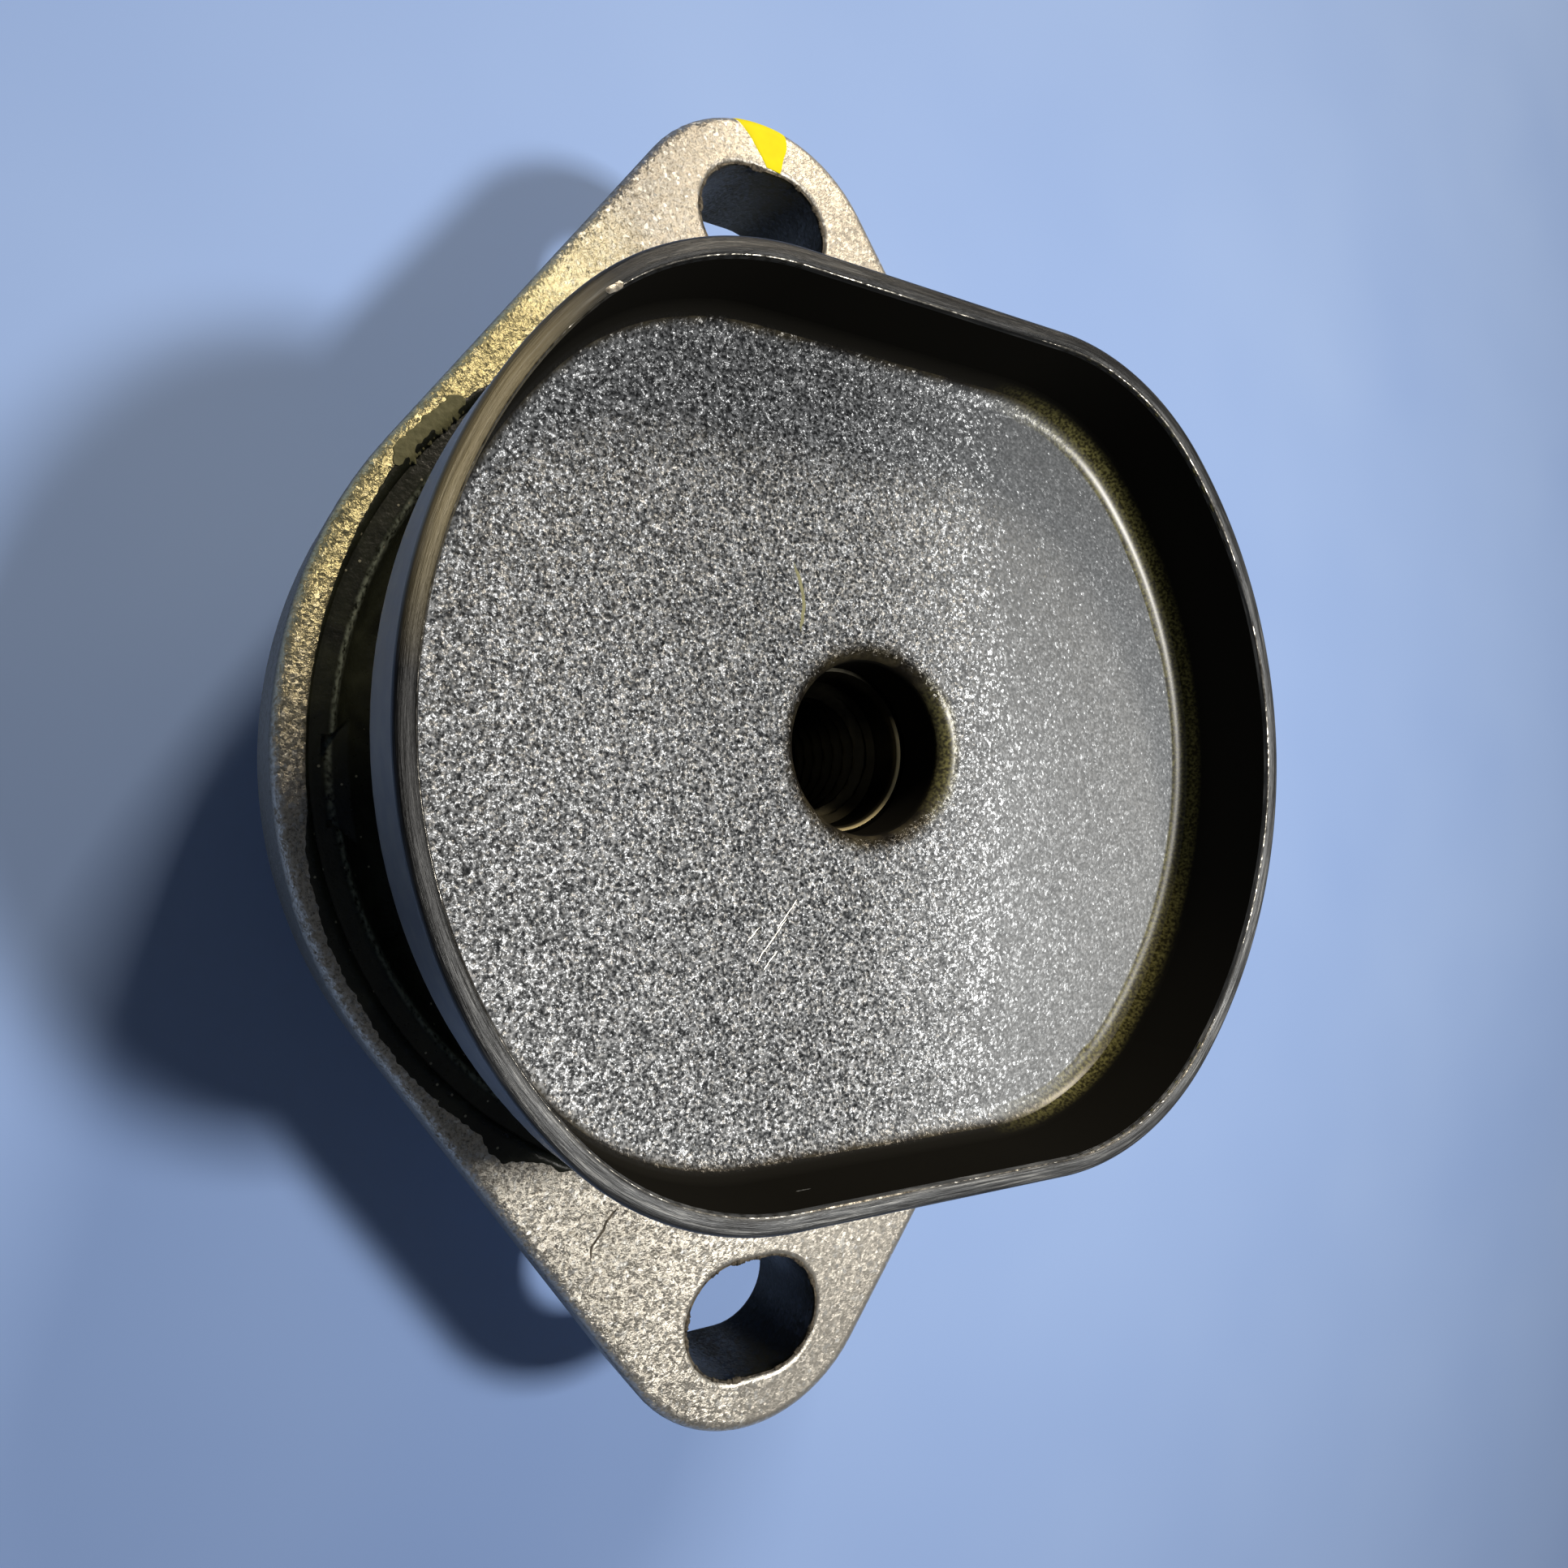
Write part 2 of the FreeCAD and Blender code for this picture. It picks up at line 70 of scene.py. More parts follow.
def arcCorners(outline):
    # each corner (x, y, radius) is swapped for an arc that touches both of its sides;
    # the arc's centre lies on the corner's halving line
    points = np.array([c[:2] for c in outline], float)
    pieces = []
    last = len(outline) - 1
    for i, corner in enumerate(outline):
        here = points[i]
        radius = corner[2] if len(corner) > 2 else 0
        if radius <= 0 or i in (0, last):
            pieces.append(here[None])
            continue
        back = points[i - 1] - here
        ahead = points[i + 1] - here
        backLength, aheadLength = np.hypot(*back), np.hypot(*ahead)
        back, ahead = back / backLength, ahead / aheadLength
        turn = math.pi - math.acos(np.clip(back @ ahead, -1, 1))
        trim = min(radius * math.tan(turn / 2), arcs["sideShare"] * backLength,
                   arcs["sideShare"] * aheadLength)
        radius = trim / math.tan(turn / 2)
        start = here + back * trim
        middle = (back + ahead) / np.hypot(*(back + ahead))
        centre = here + middle * math.hypot(radius, trim)
        first = math.atan2(*(start - centre)[::-1])
        sweep = turn * np.sign(back[0] * ahead[1] - back[1] * ahead[0]) * -1
        count = max(arcs["fewest"], int(turn * arcs["pointsPerRadian"]) + 2)
        angles = first + sweep * np.linspace(0, 1, count)
        pieces.append(centre + radius * np.stack([np.cos(angles), np.sin(angles)], 1))
    return np.concatenate(pieces)


def runningLength(line):
    # length of the line from its first point to each of its points
    return np.concatenate([[0], np.cumsum(np.hypot(*np.diff(line, axis=0).T))])


def pointsAt(line, lengths):
    # places on the line at the given running lengths
    return np.stack([np.interp(lengths, runningLength(line), line[:, k]) for k in (0, 1)], 1)


def respace(line, step):
    # the same line in even steps
    total = runningLength(line)[-1]
    return pointsAt(line, np.linspace(0, total, max(2, int(round(total / step)) + 1)))


def respaceLoop(line, count):
    # a closed line in even steps, without its last point, which is its first again
    return pointsAt(line, np.linspace(0, runningLength(line)[-1], count + 1)[:-1])


def rightOf(ahead):
    # unit directions to the right of the given ones
    return np.stack([ahead[:, 1], -ahead[:, 0]], 1) / np.hypot(*ahead.T)[:, None]


def rightOfLoop(path):
    # to the right of a closed path, whose direction runs between each point's neighbours
    return rightOf(np.roll(path, -1, 0) - np.roll(path, 1, 0))


def oneTurn(count):
    # evenly spaced angles of one turn, without its end
    return np.linspace(0, 2 * math.pi, count + 1)[:-1]


def aboutAxis(radius, angles, height):
    # points from their distance to the axis, their angle and their height
    return np.stack([radius * np.cos(angles), radius * np.sin(angles), height], -1)


def latticeNoise(points, cell, seed, size=32):
    # random values on a cubic lattice, blended smoothly between the eight corners
    values = np.random.default_rng(seed).uniform(-1, 1, (size, size, size))
    place = points / cell
    base = np.floor(place).astype(int)
    part = place - base
    part = part * part * (3 - 2 * part)
    total = np.zeros(points.shape[:-1])
    for corner in np.ndindex(2, 2, 2):
        weight = np.prod(np.where(np.array(corner) == 1, part, 1 - part), axis=-1)
        index = tuple(((base + corner) % size)[..., k] for k in range(3))
        total += weight * values[index]
    return total


def wander(angles, waves, seed):
    # a closed uneven line: sines of whole wave numbers with seeded phases
    chance = np.random.default_rng(seed)
    total = np.zeros_like(angles)
    for wave in waves:
        total += np.sin(wave * angles + chance.uniform(0, 2 * math.pi)) * chance.uniform(0.5, 1)
    return total / len(waves)


def step01(low, high, values):
    # 0 below low, 1 above high, smooth between
    share = np.clip((values - low) / (high - low), 0, 1)
    return share * share * (3 - 2 * share)


def gridFaces(rows, columns, wrapRows=False, wrapColumns=True):
    # quads between neighbouring grid points
    down = np.arange(rows if wrapRows else rows - 1)
    across = np.arange(columns if wrapColumns else columns - 1)
    i, j = np.meshgrid(down, across, indexing="ij")
    nextRow, nextColumn = (i + 1) % rows, (j + 1) % columns
    quads = [i * columns + j, i * columns + nextColumn,
             nextRow * columns + nextColumn, nextRow * columns + j]
    return np.stack([q.ravel() for q in quads], 1)


def addPiece(name, points, faces, material, sharpAngle=40):
    # a mesh from points in millimetres, resting on the one body
    mesh = bpy.data.meshes.new(name)
    mesh.from_pydata((points * mm).tolist(), [], faces)
    mesh.validate()
    mesh.polygons.foreach_set("use_smooth", [True] * len(mesh.polygons))
    mesh.set_sharp_from_angle(angle=math.radians(sharpAngle))
    mesh.materials.append(material)
    piece = bpy.data.objects.new(name, mesh)
    bpy.context.scene.collection.objects.link(piece)
    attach(piece, "root")
    return piece


def latheMesh(name, grid, material):
    # grid holds points by row and angle; its first and last rows are poles on the axis
    rows, columns = grid.shape[:2]
    inner = grid[1:-1].reshape(-1, 3)
    points = np.concatenate([inner, grid[0, :1], grid[-1, :1]])
    quads = gridFaces(rows - 2, columns)
    first, last = len(inner), len(inner) + 1
    here = np.arange(columns)
    ahead = (here + 1) % columns
    lowCap = np.stack([np.full(columns, first), ahead, here], 1)
    base = (rows - 3) * columns
    highCap = np.stack([np.full(columns, last), base + here, base + ahead], 1)
    faces = quads.tolist() + lowCap.tolist() + highCap.tolist()
    return addPiece(name, points, faces, material)


def tubeMesh(name, grid, material, sharpAngle=40):
    # grid of stations along a closed path by points round the section
    rows, columns = grid.shape[:2]
    faces = gridFaces(rows, columns, wrapRows=True)
    return addPiece(name, grid.reshape(-1, 3), faces.tolist(), material, sharpAngle)


# helpers for materials

def linear(code):
    # sRGB hex to linear light: each part over 12.92 where dark, and else its power of 2.4
    parts = [int(code[i:i + 2], 16) / 255 for i in (1, 3, 5)]
    return [c / 12.92 if c <= 0.04045 else ((c + 0.055) / 1.055) ** 2.4 for c in parts] + [1]


def grain(size):
    # texture scale for a pattern whose cells are this many millimetres
    return 1 / (size * mm)


def addNode(tree, kind, settings=None, links=None):
    # one node with its settings and its links; a key that names an input sets that input,
    # and a link from a node takes that node's first output
    node = tree.nodes.new("ShaderNode" + kind)
    for key, value in (settings or {}).items():
        if key == "stops":
            while len(node.color_ramp.elements) < len(value):
                node.color_ramp.elements.new(1)
            for element, (place, code) in zip(node.color_ramp.elements, value):
                element.position = place
                element.color = linear(code)
        elif isinstance(key, int) or key in node.inputs:
            node.inputs[key].default_value = value
        else:
            setattr(node, key, value)
    for key, source in (links or {}).items():
        tree.links.new(getattr(source, "outputs", [source])[0], node.inputs[key])
    return node


def newMaterial(name):
    # an empty node tree, and the place on the piece that its patterns read
    material = bpy.data.materials.new(name)
    material.use_nodes = True
    tree = material.node_tree
    tree.nodes.clear()
    return material, tree, addNode(tree, "TexCoord").outputs["Object"]


def finishMaterial(tree, settings, links):
    # the surface and the tree's output
    surface = addNode(tree, "BsdfPrincipled", settings, links)
    addNode(tree, "OutputMaterial", links={"Surface": surface})


def between(span, unit=1):
    # settings that turn the first two numbers of a span into its last two, or into 0 and 1
    low, high, lowShare, highShare = (*span, 0, 1)[:4]
    return {"From Min": low * unit, "From Max": high * unit, "To Min": lowShare, "To Max": highShare}


def levelShare(tree, span):
    # 0 on a wall, 1 where the surface lies flat: the normal's upright part between two limits
    facing = addNode(tree, "NewGeometry")
    split = addNode(tree, "SeparateXYZ", links={"Vector": facing.outputs["Normal"]})
    level = addNode(tree, "Math", {"operation": "ABSOLUTE"}, {0: split.outputs["Z"]})
    return addNode(tree, "MapRange", {"interpolation_type": "SMOOTHSTEP", **between(span)},
                   {"Value": level})


def axisShare(tree, place, axis, span):
    # a share that changes along one axis between two places in millimetres
    split = addNode(tree, "SeparateXYZ", links={"Vector": place})
    return addNode(tree, "MapRange", between(span, mm), {"Value": split.outputs[axis]})


def wayShare(tree, place, way, span):
    # the same along any direction: the place's part along it
    along = addNode(tree, "VectorMath", {"operation": "DOT_PRODUCT", 1: way}, {0: place})
    return addNode(tree, "MapRange", between(span, mm), {"Value": along.outputs["Value"]})


def radiusShare(tree, place, span):
    # the same by the distance from the part's axis, smooth at both ends
    level = addNode(tree, "VectorMath", {"operation": "MULTIPLY", 1: (1, 1, 0)}, {0: place})
    radius = addNode(tree, "VectorMath", {"operation": "LENGTH"}, {0: level})
    return addNode(tree, "MapRange", {"interpolation_type": "SMOOTHSTEP", **between(span, mm)},
                   {"Value": radius.outputs["Value"]})


def shaded(tree, colour, first, second):
    # the colour times two shares
    light = addNode(tree, "Math", {"operation": "MULTIPLY"}, {0: first, 1: second})
    return addNode(tree, "VectorMath", {"operation": "SCALE"}, {0: colour, "Scale": light})


def warmLightOver(tree, place, colour, s, height):
    # a patch of painted warm light in its colour, strongest at one place and gone beyond a distance from
    # it
    middle = Vector((*s["warmLightPlace"], height)) * mm
    away = addNode(tree, "VectorMath", {"operation": "DISTANCE", 1: middle}, {0: place})
    share = addNode(tree, "MapRange", between(s["warmLightReach"], mm), {"Value": away.outputs["Value"]})
    return addNode(tree, "MixRGB", {"Color2": linear(s["warmLight"])}, {"Fac": share, "Color1": colour})


def tiltedCells(tree, normal, cells, amount):
    # the normal plus each cell's random colour less one half, times the amount, at unit length
    centred = addNode(tree, "VectorMath", {"operation": "SUBTRACT", 1: (0.5, 0.5, 0.5)},
                      {0: cells.outputs["Color"]})
    lean = addNode(tree, "VectorMath", {"operation": "SCALE"}, {0: centred, "Scale": amount})
    total = addNode(tree, "VectorMath", {"operation": "ADD"}, {0: normal, 1: lean})
    return addNode(tree, "VectorMath", {"operation": "NORMALIZE"}, {0: total})


def slotShadeShare(tree, place, s):
    # 1 on the walls of the two lug slots, where painted shade goes: near a slot in X and in Y, and not
    # lying flat
    split = addNode(tree, "SeparateXYZ", links={"Vector": place})
    near = []
    for axis, middle, size in (("X", 0.0, slot["length"]), ("Y", slot["spacing"] / 2, slot["width"])):
        reach = size / 2 + s["slotMargin"]
        side = addNode(tree, "Math", {"operation": "ABSOLUTE"}, {0: split.outputs[axis]})
        away = addNode(tree, "Math", {"operation": "SUBTRACT", 1: middle * mm}, {0: side})
        distance = addNode(tree, "Math", {"operation": "ABSOLUTE"}, {0: away})
        near.append(addNode(tree, "Math", {"operation": "LESS_THAN", 1: reach * mm}, {0: distance}))
    both = addNode(tree, "Math", {"operation": "MULTIPLY"}, {0: near[0], 1: near[1]})
    return addNode(tree, "Math", {"operation": "SUBTRACT", "use_clamp": True},
                   {0: both, 1: levelShare(tree, s["slotLevel"])})


# materials: a colour table gives places on a noise and their colours; a span gives two limits,
# in millimetres where its name ends in X, Y, radius, reach or way, and the shares at them

castFinish = {
    "specks": ((0.3, "#8F8779"), (0.46, "#C8C2B5"), (0.7, "#DED9CE")), "glint": "#FFFDF6",
    "glintSpan": (0.86, 1), "side": "#6A665D", "shadedSideLevel": (0.2, 0.85),
    "slotShade": "#3B392A", "slotMargin": 0.2, "slotLevel": (0.5, 0.97),
    "grit": 0.26, "lump": 0.6, "lumpBlend": 0.6, "facet": 0.32,
    "flow": 8.0, "cloud": (0.3, 0.7, 0.86, 1),
    "gritDepth": 0.15, "lumpDepth": 0.05, "facetTilt": 0.5, "roughness": 0.42, "metallic": 0.85,
    "warmLight": "#FFF2AE", "warmLightPlace": (-35.0, 27.0), "warmLightReach": (14.0, 32.0, 0.72, 0),
    "calm": "#D6D0C4", "roughX": (-14.0, 2.0, 1, 0.3), "paintedLightY": (62.0, -58.0, 0.82, 1.38),
}


def castAluminium():
    # raw gravity cast aluminium, blasted: fine tilted facets that glint, a few cells painted white as
    # glints, calmer on one side, a patch of painted warm light in one place, painted shade on the walls
    # and inside the slots, and painted light towards -Y
    s = castFinish
    material, tree, place = newMaterial("cast_aluminium_blasted")
    grit = addNode(tree, "TexNoise", {"Scale": grain(s["grit"]), "Detail": 3.0, "Roughness": 0.6},
                   {"Vector": place})
    lumps = addNode(tree, "TexVoronoi", {"feature": "SMOOTH_F1", "Scale": grain(s["lump"]),
                                         "Smoothness": s["lumpBlend"]}, {"Vector": place})
    facets = addNode(tree, "TexVoronoi", {"Scale": grain(s["facet"])}, {"Vector": place})
    flow = addNode(tree, "TexNoise", {"Scale": grain(s["flow"]), "Detail": 3.0}, {"Vector": place})
    rough = axisShare(tree, place, "X", s["roughX"])

    specks = addNode(tree, "ValToRGB", {"stops": s["specks"]}, {"Fac": grit})
    tint = addNode(tree, "MixRGB", {"Color1": linear(s["calm"])}, {"Fac": rough, "Color2": specks})
    cloud = addNode(tree, "MapRange", between(s["cloud"]), {"Value": flow})
    # painted light: brighter towards -Y, times a random cloud
    shade = shaded(tree, tint, cloud, axisShare(tree, place, "Y", s["paintedLightY"]))
    # painted highlight: facet cells whose random value is high are made near white
    chance = addNode(tree, "SeparateXYZ", links={"Vector": facets.outputs["Color"]})
    glint = addNode(tree, "MapRange", between(s["glintSpan"]), {"Value": chance.outputs["X"]})
    glinting = addNode(tree, "MixRGB", {"Color2": linear(s["glint"])}, {"Fac": glint, "Color1": shade})
    # painted warm light: a gold patch on the deck's upper left
    warmLit = warmLightOver(tree, place, glinting, s, deckHeight)
    # painted shade: surfaces that do not lie flat take the darker side colour
    skin = addNode(tree, "MixRGB", {"Color1": linear(s["side"])},
                   {"Fac": levelShare(tree, s["shadedSideLevel"]), "Color2": warmLit})
    # painted shade inside the slots: a dark colour, and no metallic reflection there
    inSlot = slotShadeShare(tree, place, s)
    colour = addNode(tree, "MixRGB", {"Color2": linear(s["slotShade"])}, {"Fac": inSlot, "Color1": skin})
    metallicOutsideSlot = addNode(tree, "MapRange", between((0, 1, s["metallic"], 0)), {"Value": inSlot})

    tilt = addNode(tree, "Math", {"operation": "MULTIPLY", 1: s["facetTilt"]}, {0: rough})
    lumpBump = addNode(tree, "Bump", {"Distance": -s["lumpDepth"] * mm},
                       {"Height": lumps, "Strength": rough})
    bump = addNode(tree, "Bump", {"Distance": s["gritDepth"] * mm},
                   {"Height": grit, "Normal": lumpBump, "Strength": rough})
    finishMaterial(tree, {"Roughness": s["roughness"]},
                   {"Base Color": colour, "Metallic": metallicOutsideSlot,
                    "Normal": tiltedCells(tree, bump, facets, tilt)})
    return material


phosphateFinish = {
    "specks": ((0.36, "#46494D"), (0.5, "#8E9296"), (0.64, "#C6CACF")),
    "even": "#8E9296", "evenX": (-2.0, 15.0, 0, 0.75), "cloud": (0.3, 0.7, 0.9, 1),
    "paintedLightWay": (0.72, -0.69, 0.0), "paintedLightReach": (-30.0, 30.0, 0.58, 1.38),
    "innerWall": "#1E1D1A", "outerWall": ((0.4, "#1D1A15"), (0.7, "#4B4534")), "outerFrom": 10.0,
    "floorLevel": (0.7, 0.96), "floorRadius": (7.9, 9.5),
    "bendLight": ((0.38, "#34311F"), (0.7, "#7C784A")), "bendLightLevel": (0.15, 0.55),
    "bendLightThroatX": (5.0, 8.0), "bendLightThroatRadius": (8.3, 9.5),
    "bendLightBendX": (12.0, 24.0), "bendLightBendLevel": (0.99, 0.9999),
    "crystal": 0.27, "speck": 0.27, "blotch": 14.0, "outerWallNoise": 2.2, "crystalLevel": (0.5, 0.92),
    "rimBand": (0.42, 0.22), "coarseX": (-30.0, -10.0, 0.8, 1.5), "wornX": (-2.0, 15.0, 1, 0.22),
    "crystalTilt": 0.75, "bumpDepth": 0.13,
    "roughness": 0.33, "metallic": 0.35, "gloss": 0.5, "refraction": 1.6,
}


def phosphatedSteel():
    # pressed steel with a grey phosphate skin: fine round crystals on the floor, worn smoother
    # on one side, and painted paler towards +X and -Y; painted warm light on two bends; the walls
    # are painted dark as shade, with a painted brown reflection outside
    s = phosphateFinish
    material, tree, place = newMaterial("phosphated_steel_pressed")
    crystals = addNode(tree, "TexVoronoi", {"Scale": grain(s["crystal"])}, {"Vector": place})
    specks = addNode(tree, "TexNoise", {"Scale": grain(s["speck"]), "Detail": 1.0}, {"Vector": place})
    blotches = addNode(tree, "TexNoise", {"Scale": grain(s["blotch"]), "Detail": 2.0}, {"Vector": place})
    outerWallNoise = addNode(tree, "TexNoise", {"Scale": grain(s["outerWallNoise"]), "Detail": 4.0}, {"Vector": place})

    # the floor
    speckled = addNode(tree, "ValToRGB", {"stops": s["specks"]}, {"Fac": specks})
    tint = addNode(tree, "MixRGB", {"Color2": linear(s["even"])},
                   {"Fac": axisShare(tree, place, "X", s["evenX"]), "Color1": speckled})
    cloud = addNode(tree, "MapRange", between(s["cloud"]), {"Value": blotches})
    # painted light: the floor paler towards +X and -Y, times a random cloud
    shade = shaded(tree, tint, cloud, wayShare(tree, place, s["paintedLightWay"], s["paintedLightReach"]))

    # the walls, painted near black as shade: on the outer one the normal points away from the axis
    facing = addNode(tree, "NewGeometry")
    outward = addNode(tree, "VectorMath", {"operation": "DOT_PRODUCT"},
                      {0: facing.outputs["Normal"], 1: place})
    isOuter = addNode(tree, "Math", {"operation": "GREATER_THAN", 1: s["outerFrom"] * mm},
                      {0: outward.outputs["Value"]})
    # painted reflection: the outer wall's brown noise tone stands in for the lit housing seen in it
    outer = addNode(tree, "ValToRGB", {"stops": s["outerWall"]}, {"Fac": outerWallNoise})
    wall = addNode(tree, "MixRGB", {"Color1": linear(s["innerWall"])}, {"Fac": isOuter, "Color2": outer})
    onFloor = addNode(tree, "Math", {"operation": "MULTIPLY"},
                      {0: levelShare(tree, s["floorLevel"]),
                       1: radiusShare(tree, place, s["floorRadius"])})
    skin = addNode(tree, "MixRGB", links={"Fac": onFloor, "Color1": wall, "Color2": shade})

    # painted warm light: an olive tone on the throat's bend and on the bend below the far wall, on the
    # +X side only
    onThroat = addNode(tree, "Math", {"operation": "SUBTRACT", "use_clamp": True},
                       {0: axisShare(tree, place, "X", s["bendLightThroatX"]),
                        1: radiusShare(tree, place, s["bendLightThroatRadius"])})
    onBend = addNode(tree, "Math", {"operation": "SUBTRACT", "use_clamp": True},
                     {0: axisShare(tree, place, "X", s["bendLightBendX"]),
                      1: levelShare(tree, s["bendLightBendLevel"])})
    bends = addNode(tree, "Math", {"operation": "MAXIMUM"}, {0: onThroat, 1: onBend})
    paintedTone = addNode(tree, "Math", {"operation": "MULTIPLY"},
                    {0: bends, 1: levelShare(tree, s["bendLightLevel"])})
    bendLight = addNode(tree, "ValToRGB", {"stops": s["bendLight"]}, {"Fac": specks})
    colour = addNode(tree, "MixRGB", links={"Fac": paintedTone, "Color1": skin, "Color2": bendLight})

    # the crystals' relief, with none on the rim and under the painted bend light
    onRim = axisShare(tree, place, "Z", [rimHeight - depth for depth in s["rimBand"]])
    dull = addNode(tree, "Math", {"operation": "MAXIMUM"}, {0: onRim, 1: paintedTone})
    crystalled = addNode(tree, "Math", {"operation": "SUBTRACT", "use_clamp": True},
                         {0: levelShare(tree, s["crystalLevel"]), 1: dull})
    depth = addNode(tree, "Math", {"operation": "MULTIPLY"},
                    {0: axisShare(tree, place, "X", s["coarseX"]),
                     1: axisShare(tree, place, "X", s["wornX"])})
    relief = addNode(tree, "Math", {"operation": "MULTIPLY"}, {0: crystalled, 1: depth})
    tilt = addNode(tree, "Math", {"operation": "MULTIPLY", 1: s["crystalTilt"]}, {0: relief})
    height = addNode(tree, "Math", {"operation": "MULTIPLY"}, {0: specks, 1: relief})
    bump = addNode(tree, "Bump", {"Distance": s["bumpDepth"] * mm}, {"Height": height})
    metallic = addNode(tree, "Math", {"operation": "MULTIPLY", 1: s["metallic"]}, {0: crystalled})
    glossy = addNode(tree, "Math", {"operation": "MAXIMUM"}, {0: crystalled, 1: isOuter})
    gloss = addNode(tree, "Math", {"operation": "MULTIPLY", 1: s["gloss"]}, {0: glossy})
    finishMaterial(tree, {"Roughness": s["roughness"], "IOR": s["refraction"]},
                   {"Base Color": colour, "Metallic": metallic, "Specular IOR Level": gloss,
                    "Normal": tiltedCells(tree, bump, crystals, tilt)})
    return material


rubberFinish = {
    "flowTints": ((0.3, "#1A1C16"), (0.6, "#303327"), (0.95, "#4A4D3C")), "crestHighlight": "#97A090",
    "crestRadii": ((38.65, 39.1), (39.1, 39.55)), "crestHighlightSpan": (0.35, 0.6),
    "dust": "#A8A590", "dustCell": 1.3, "dustShare": 0.09, "skin": 0.45, "skinDepth": 0.05, "flow": 5.0,
    "roughness": (0, 1, 0.2, 0.42), "refraction": 1.5,
}


def mouldedRubber(name):
    # natural rubber with carbon black, moulded: soft sheen, faint flow lines, a grey bloom, a
    # painted highlight along the ridge's crest and a few specks of dust
    s = rubberFinish
    material, tree, place = newMaterial(name)
    skin = addNode(tree, "TexNoise", {"Scale": grain(s["skin"]), "Detail": 4.0}, {"Vector": place})
    flow = addNode(tree, "TexNoise", {"Scale": grain(s["flow"]), "Detail": 4.0, "Distortion": 1.0},
                   {"Vector": place})
    dust = addNode(tree, "TexVoronoi", {"Scale": grain(s["dustCell"])}, {"Vector": place})
    tint = addNode(tree, "ValToRGB", {"stops": s["flowTints"]}, {"Fac": flow})
    crest = [radiusShare(tree, place, span) for span in s["crestRadii"]]
    # painted highlight: a broken pale line along the ridge's crest
    onCrest = addNode(tree, "Math", {"operation": "SUBTRACT"}, {0: crest[0], 1: crest[1]})
    broken = addNode(tree, "MapRange", between(s["crestHighlightSpan"]), {"Value": skin})
    paintedHighlight = addNode(tree, "Math", {"operation": "MULTIPLY"}, {0: onCrest, 1: broken})
    crestHighlight = addNode(tree, "MixRGB", {"Color2": linear(s["crestHighlight"])}, {"Fac": paintedHighlight, "Color1": tint})
    dusty = addNode(tree, "Math", {"operation": "LESS_THAN", 1: s["dustShare"]}, {0: dust})
    colour = addNode(tree, "MixRGB", {"Color2": linear(s["dust"])}, {"Fac": dusty, "Color1": crestHighlight})
    sheen = addNode(tree, "MapRange", between(s["roughness"]), {"Value": skin})
    bump = addNode(tree, "Bump", {"Distance": s["skinDepth"] * mm}, {"Height": skin})
    finishMaterial(tree, {"IOR": s["refraction"], "Metallic": 0.0},
                   {"Base Color": colour, "Roughness": sheen, "Normal": bump})
    return material


turnedFinish = {
    "clean": ((0.3, "#8E8B84"), (0.7, "#C8C6C0")), "paintedTone": ((0.35, "#15140F"), (0.75, "#2C2A22")),
    "edge": "#FFF0BE", "cloud": 1.6, "feed": 0.25, "ringsPerFeed": 20, "feedDepth": 0.01,
    "outsideRadius": (9.0, 9.4), "slopeLevels": ((0.3, 0.6), (0.8, 0.95)),
    "lipRadius": (6.72, 6.86), "lipShares": (0, 1, 0.06, 1), "litY": (3.5, 1.5),
    "roughness": 0.42, "metallic": 0.9,
}


def turnedAluminium():
    # turned bar aluminium: fine rings from the tool's feed; inside the bore it is painted dark as
    # shade, and the pilot's chamfer has a painted highlight on one side
    s = turnedFinish
    material, tree, place = newMaterial("turned_aluminium")
    rings = addNode(tree, "TexWave", {"wave_type": "RINGS", "rings_direction": "Z", "Distortion": 0.4,
                                      "Detail": 2.0, "Scale": grain(s["feed"]) / s["ringsPerFeed"]},
                    {"Vector": place})
    cloud = addNode(tree, "TexNoise", {"Scale": grain(s["cloud"]), "Detail": 4.0}, {"Vector": place})
    clean = addNode(tree, "ValToRGB", {"stops": s["clean"]}, {"Fac": cloud})
    # painted shade: the dark colour used inside the bore
    paintedTone = addNode(tree, "ValToRGB", {"stops": s["paintedTone"]}, {"Fac": cloud})
    steep, flat = [levelShare(tree, span) for span in s["slopeLevels"]]
    sloping = addNode(tree, "Math", {"operation": "SUBTRACT", "use_clamp": True}, {0: steep, 1: flat})
    lip = addNode(tree, "MapRange", between(s["lipShares"]),
                  {"Value": radiusShare(tree, place, s["lipRadius"])})
    upper = addNode(tree, "Math", {"operation": "MULTIPLY"}, {0: sloping, 1: lip})
    # painted highlight: sloping chamfer faces outside the pilot's lip, on the side where Y is low, turn
    # pale gold
    paintedHighlight = addNode(tree, "Math", {"operation": "MULTIPLY"},
                     {0: upper, 1: axisShare(tree, place, "Y", s["litY"])})
    highlighted = addNode(tree, "MixRGB", {"Color2": linear(s["edge"])}, {"Fac": paintedHighlight, "Color1": paintedTone})
    tint = addNode(tree, "MixRGB", links={"Fac": radiusShare(tree, place, s["outsideRadius"]),
                                          "Color1": highlighted, "Color2": clean})
    bump = addNode(tree, "Bump", {"Distance": s["feedDepth"] * mm}, {"Height": rings.outputs["Fac"]})
    finishMaterial(tree, {"Metallic": s["metallic"], "Roughness": s["roughness"]},
                   {"Base Color": tint, "Normal": bump})
    return material


platedFinish = {
    "tints": ((0.3, "#8F9090"), (0.7, "#BDBEBC")), "spangle": 2.2, "cloud": 4,
    "roughness": (0, 1, 0.26, 0.44), "bump": 0.25, "bumpDepth": 0.1,
}


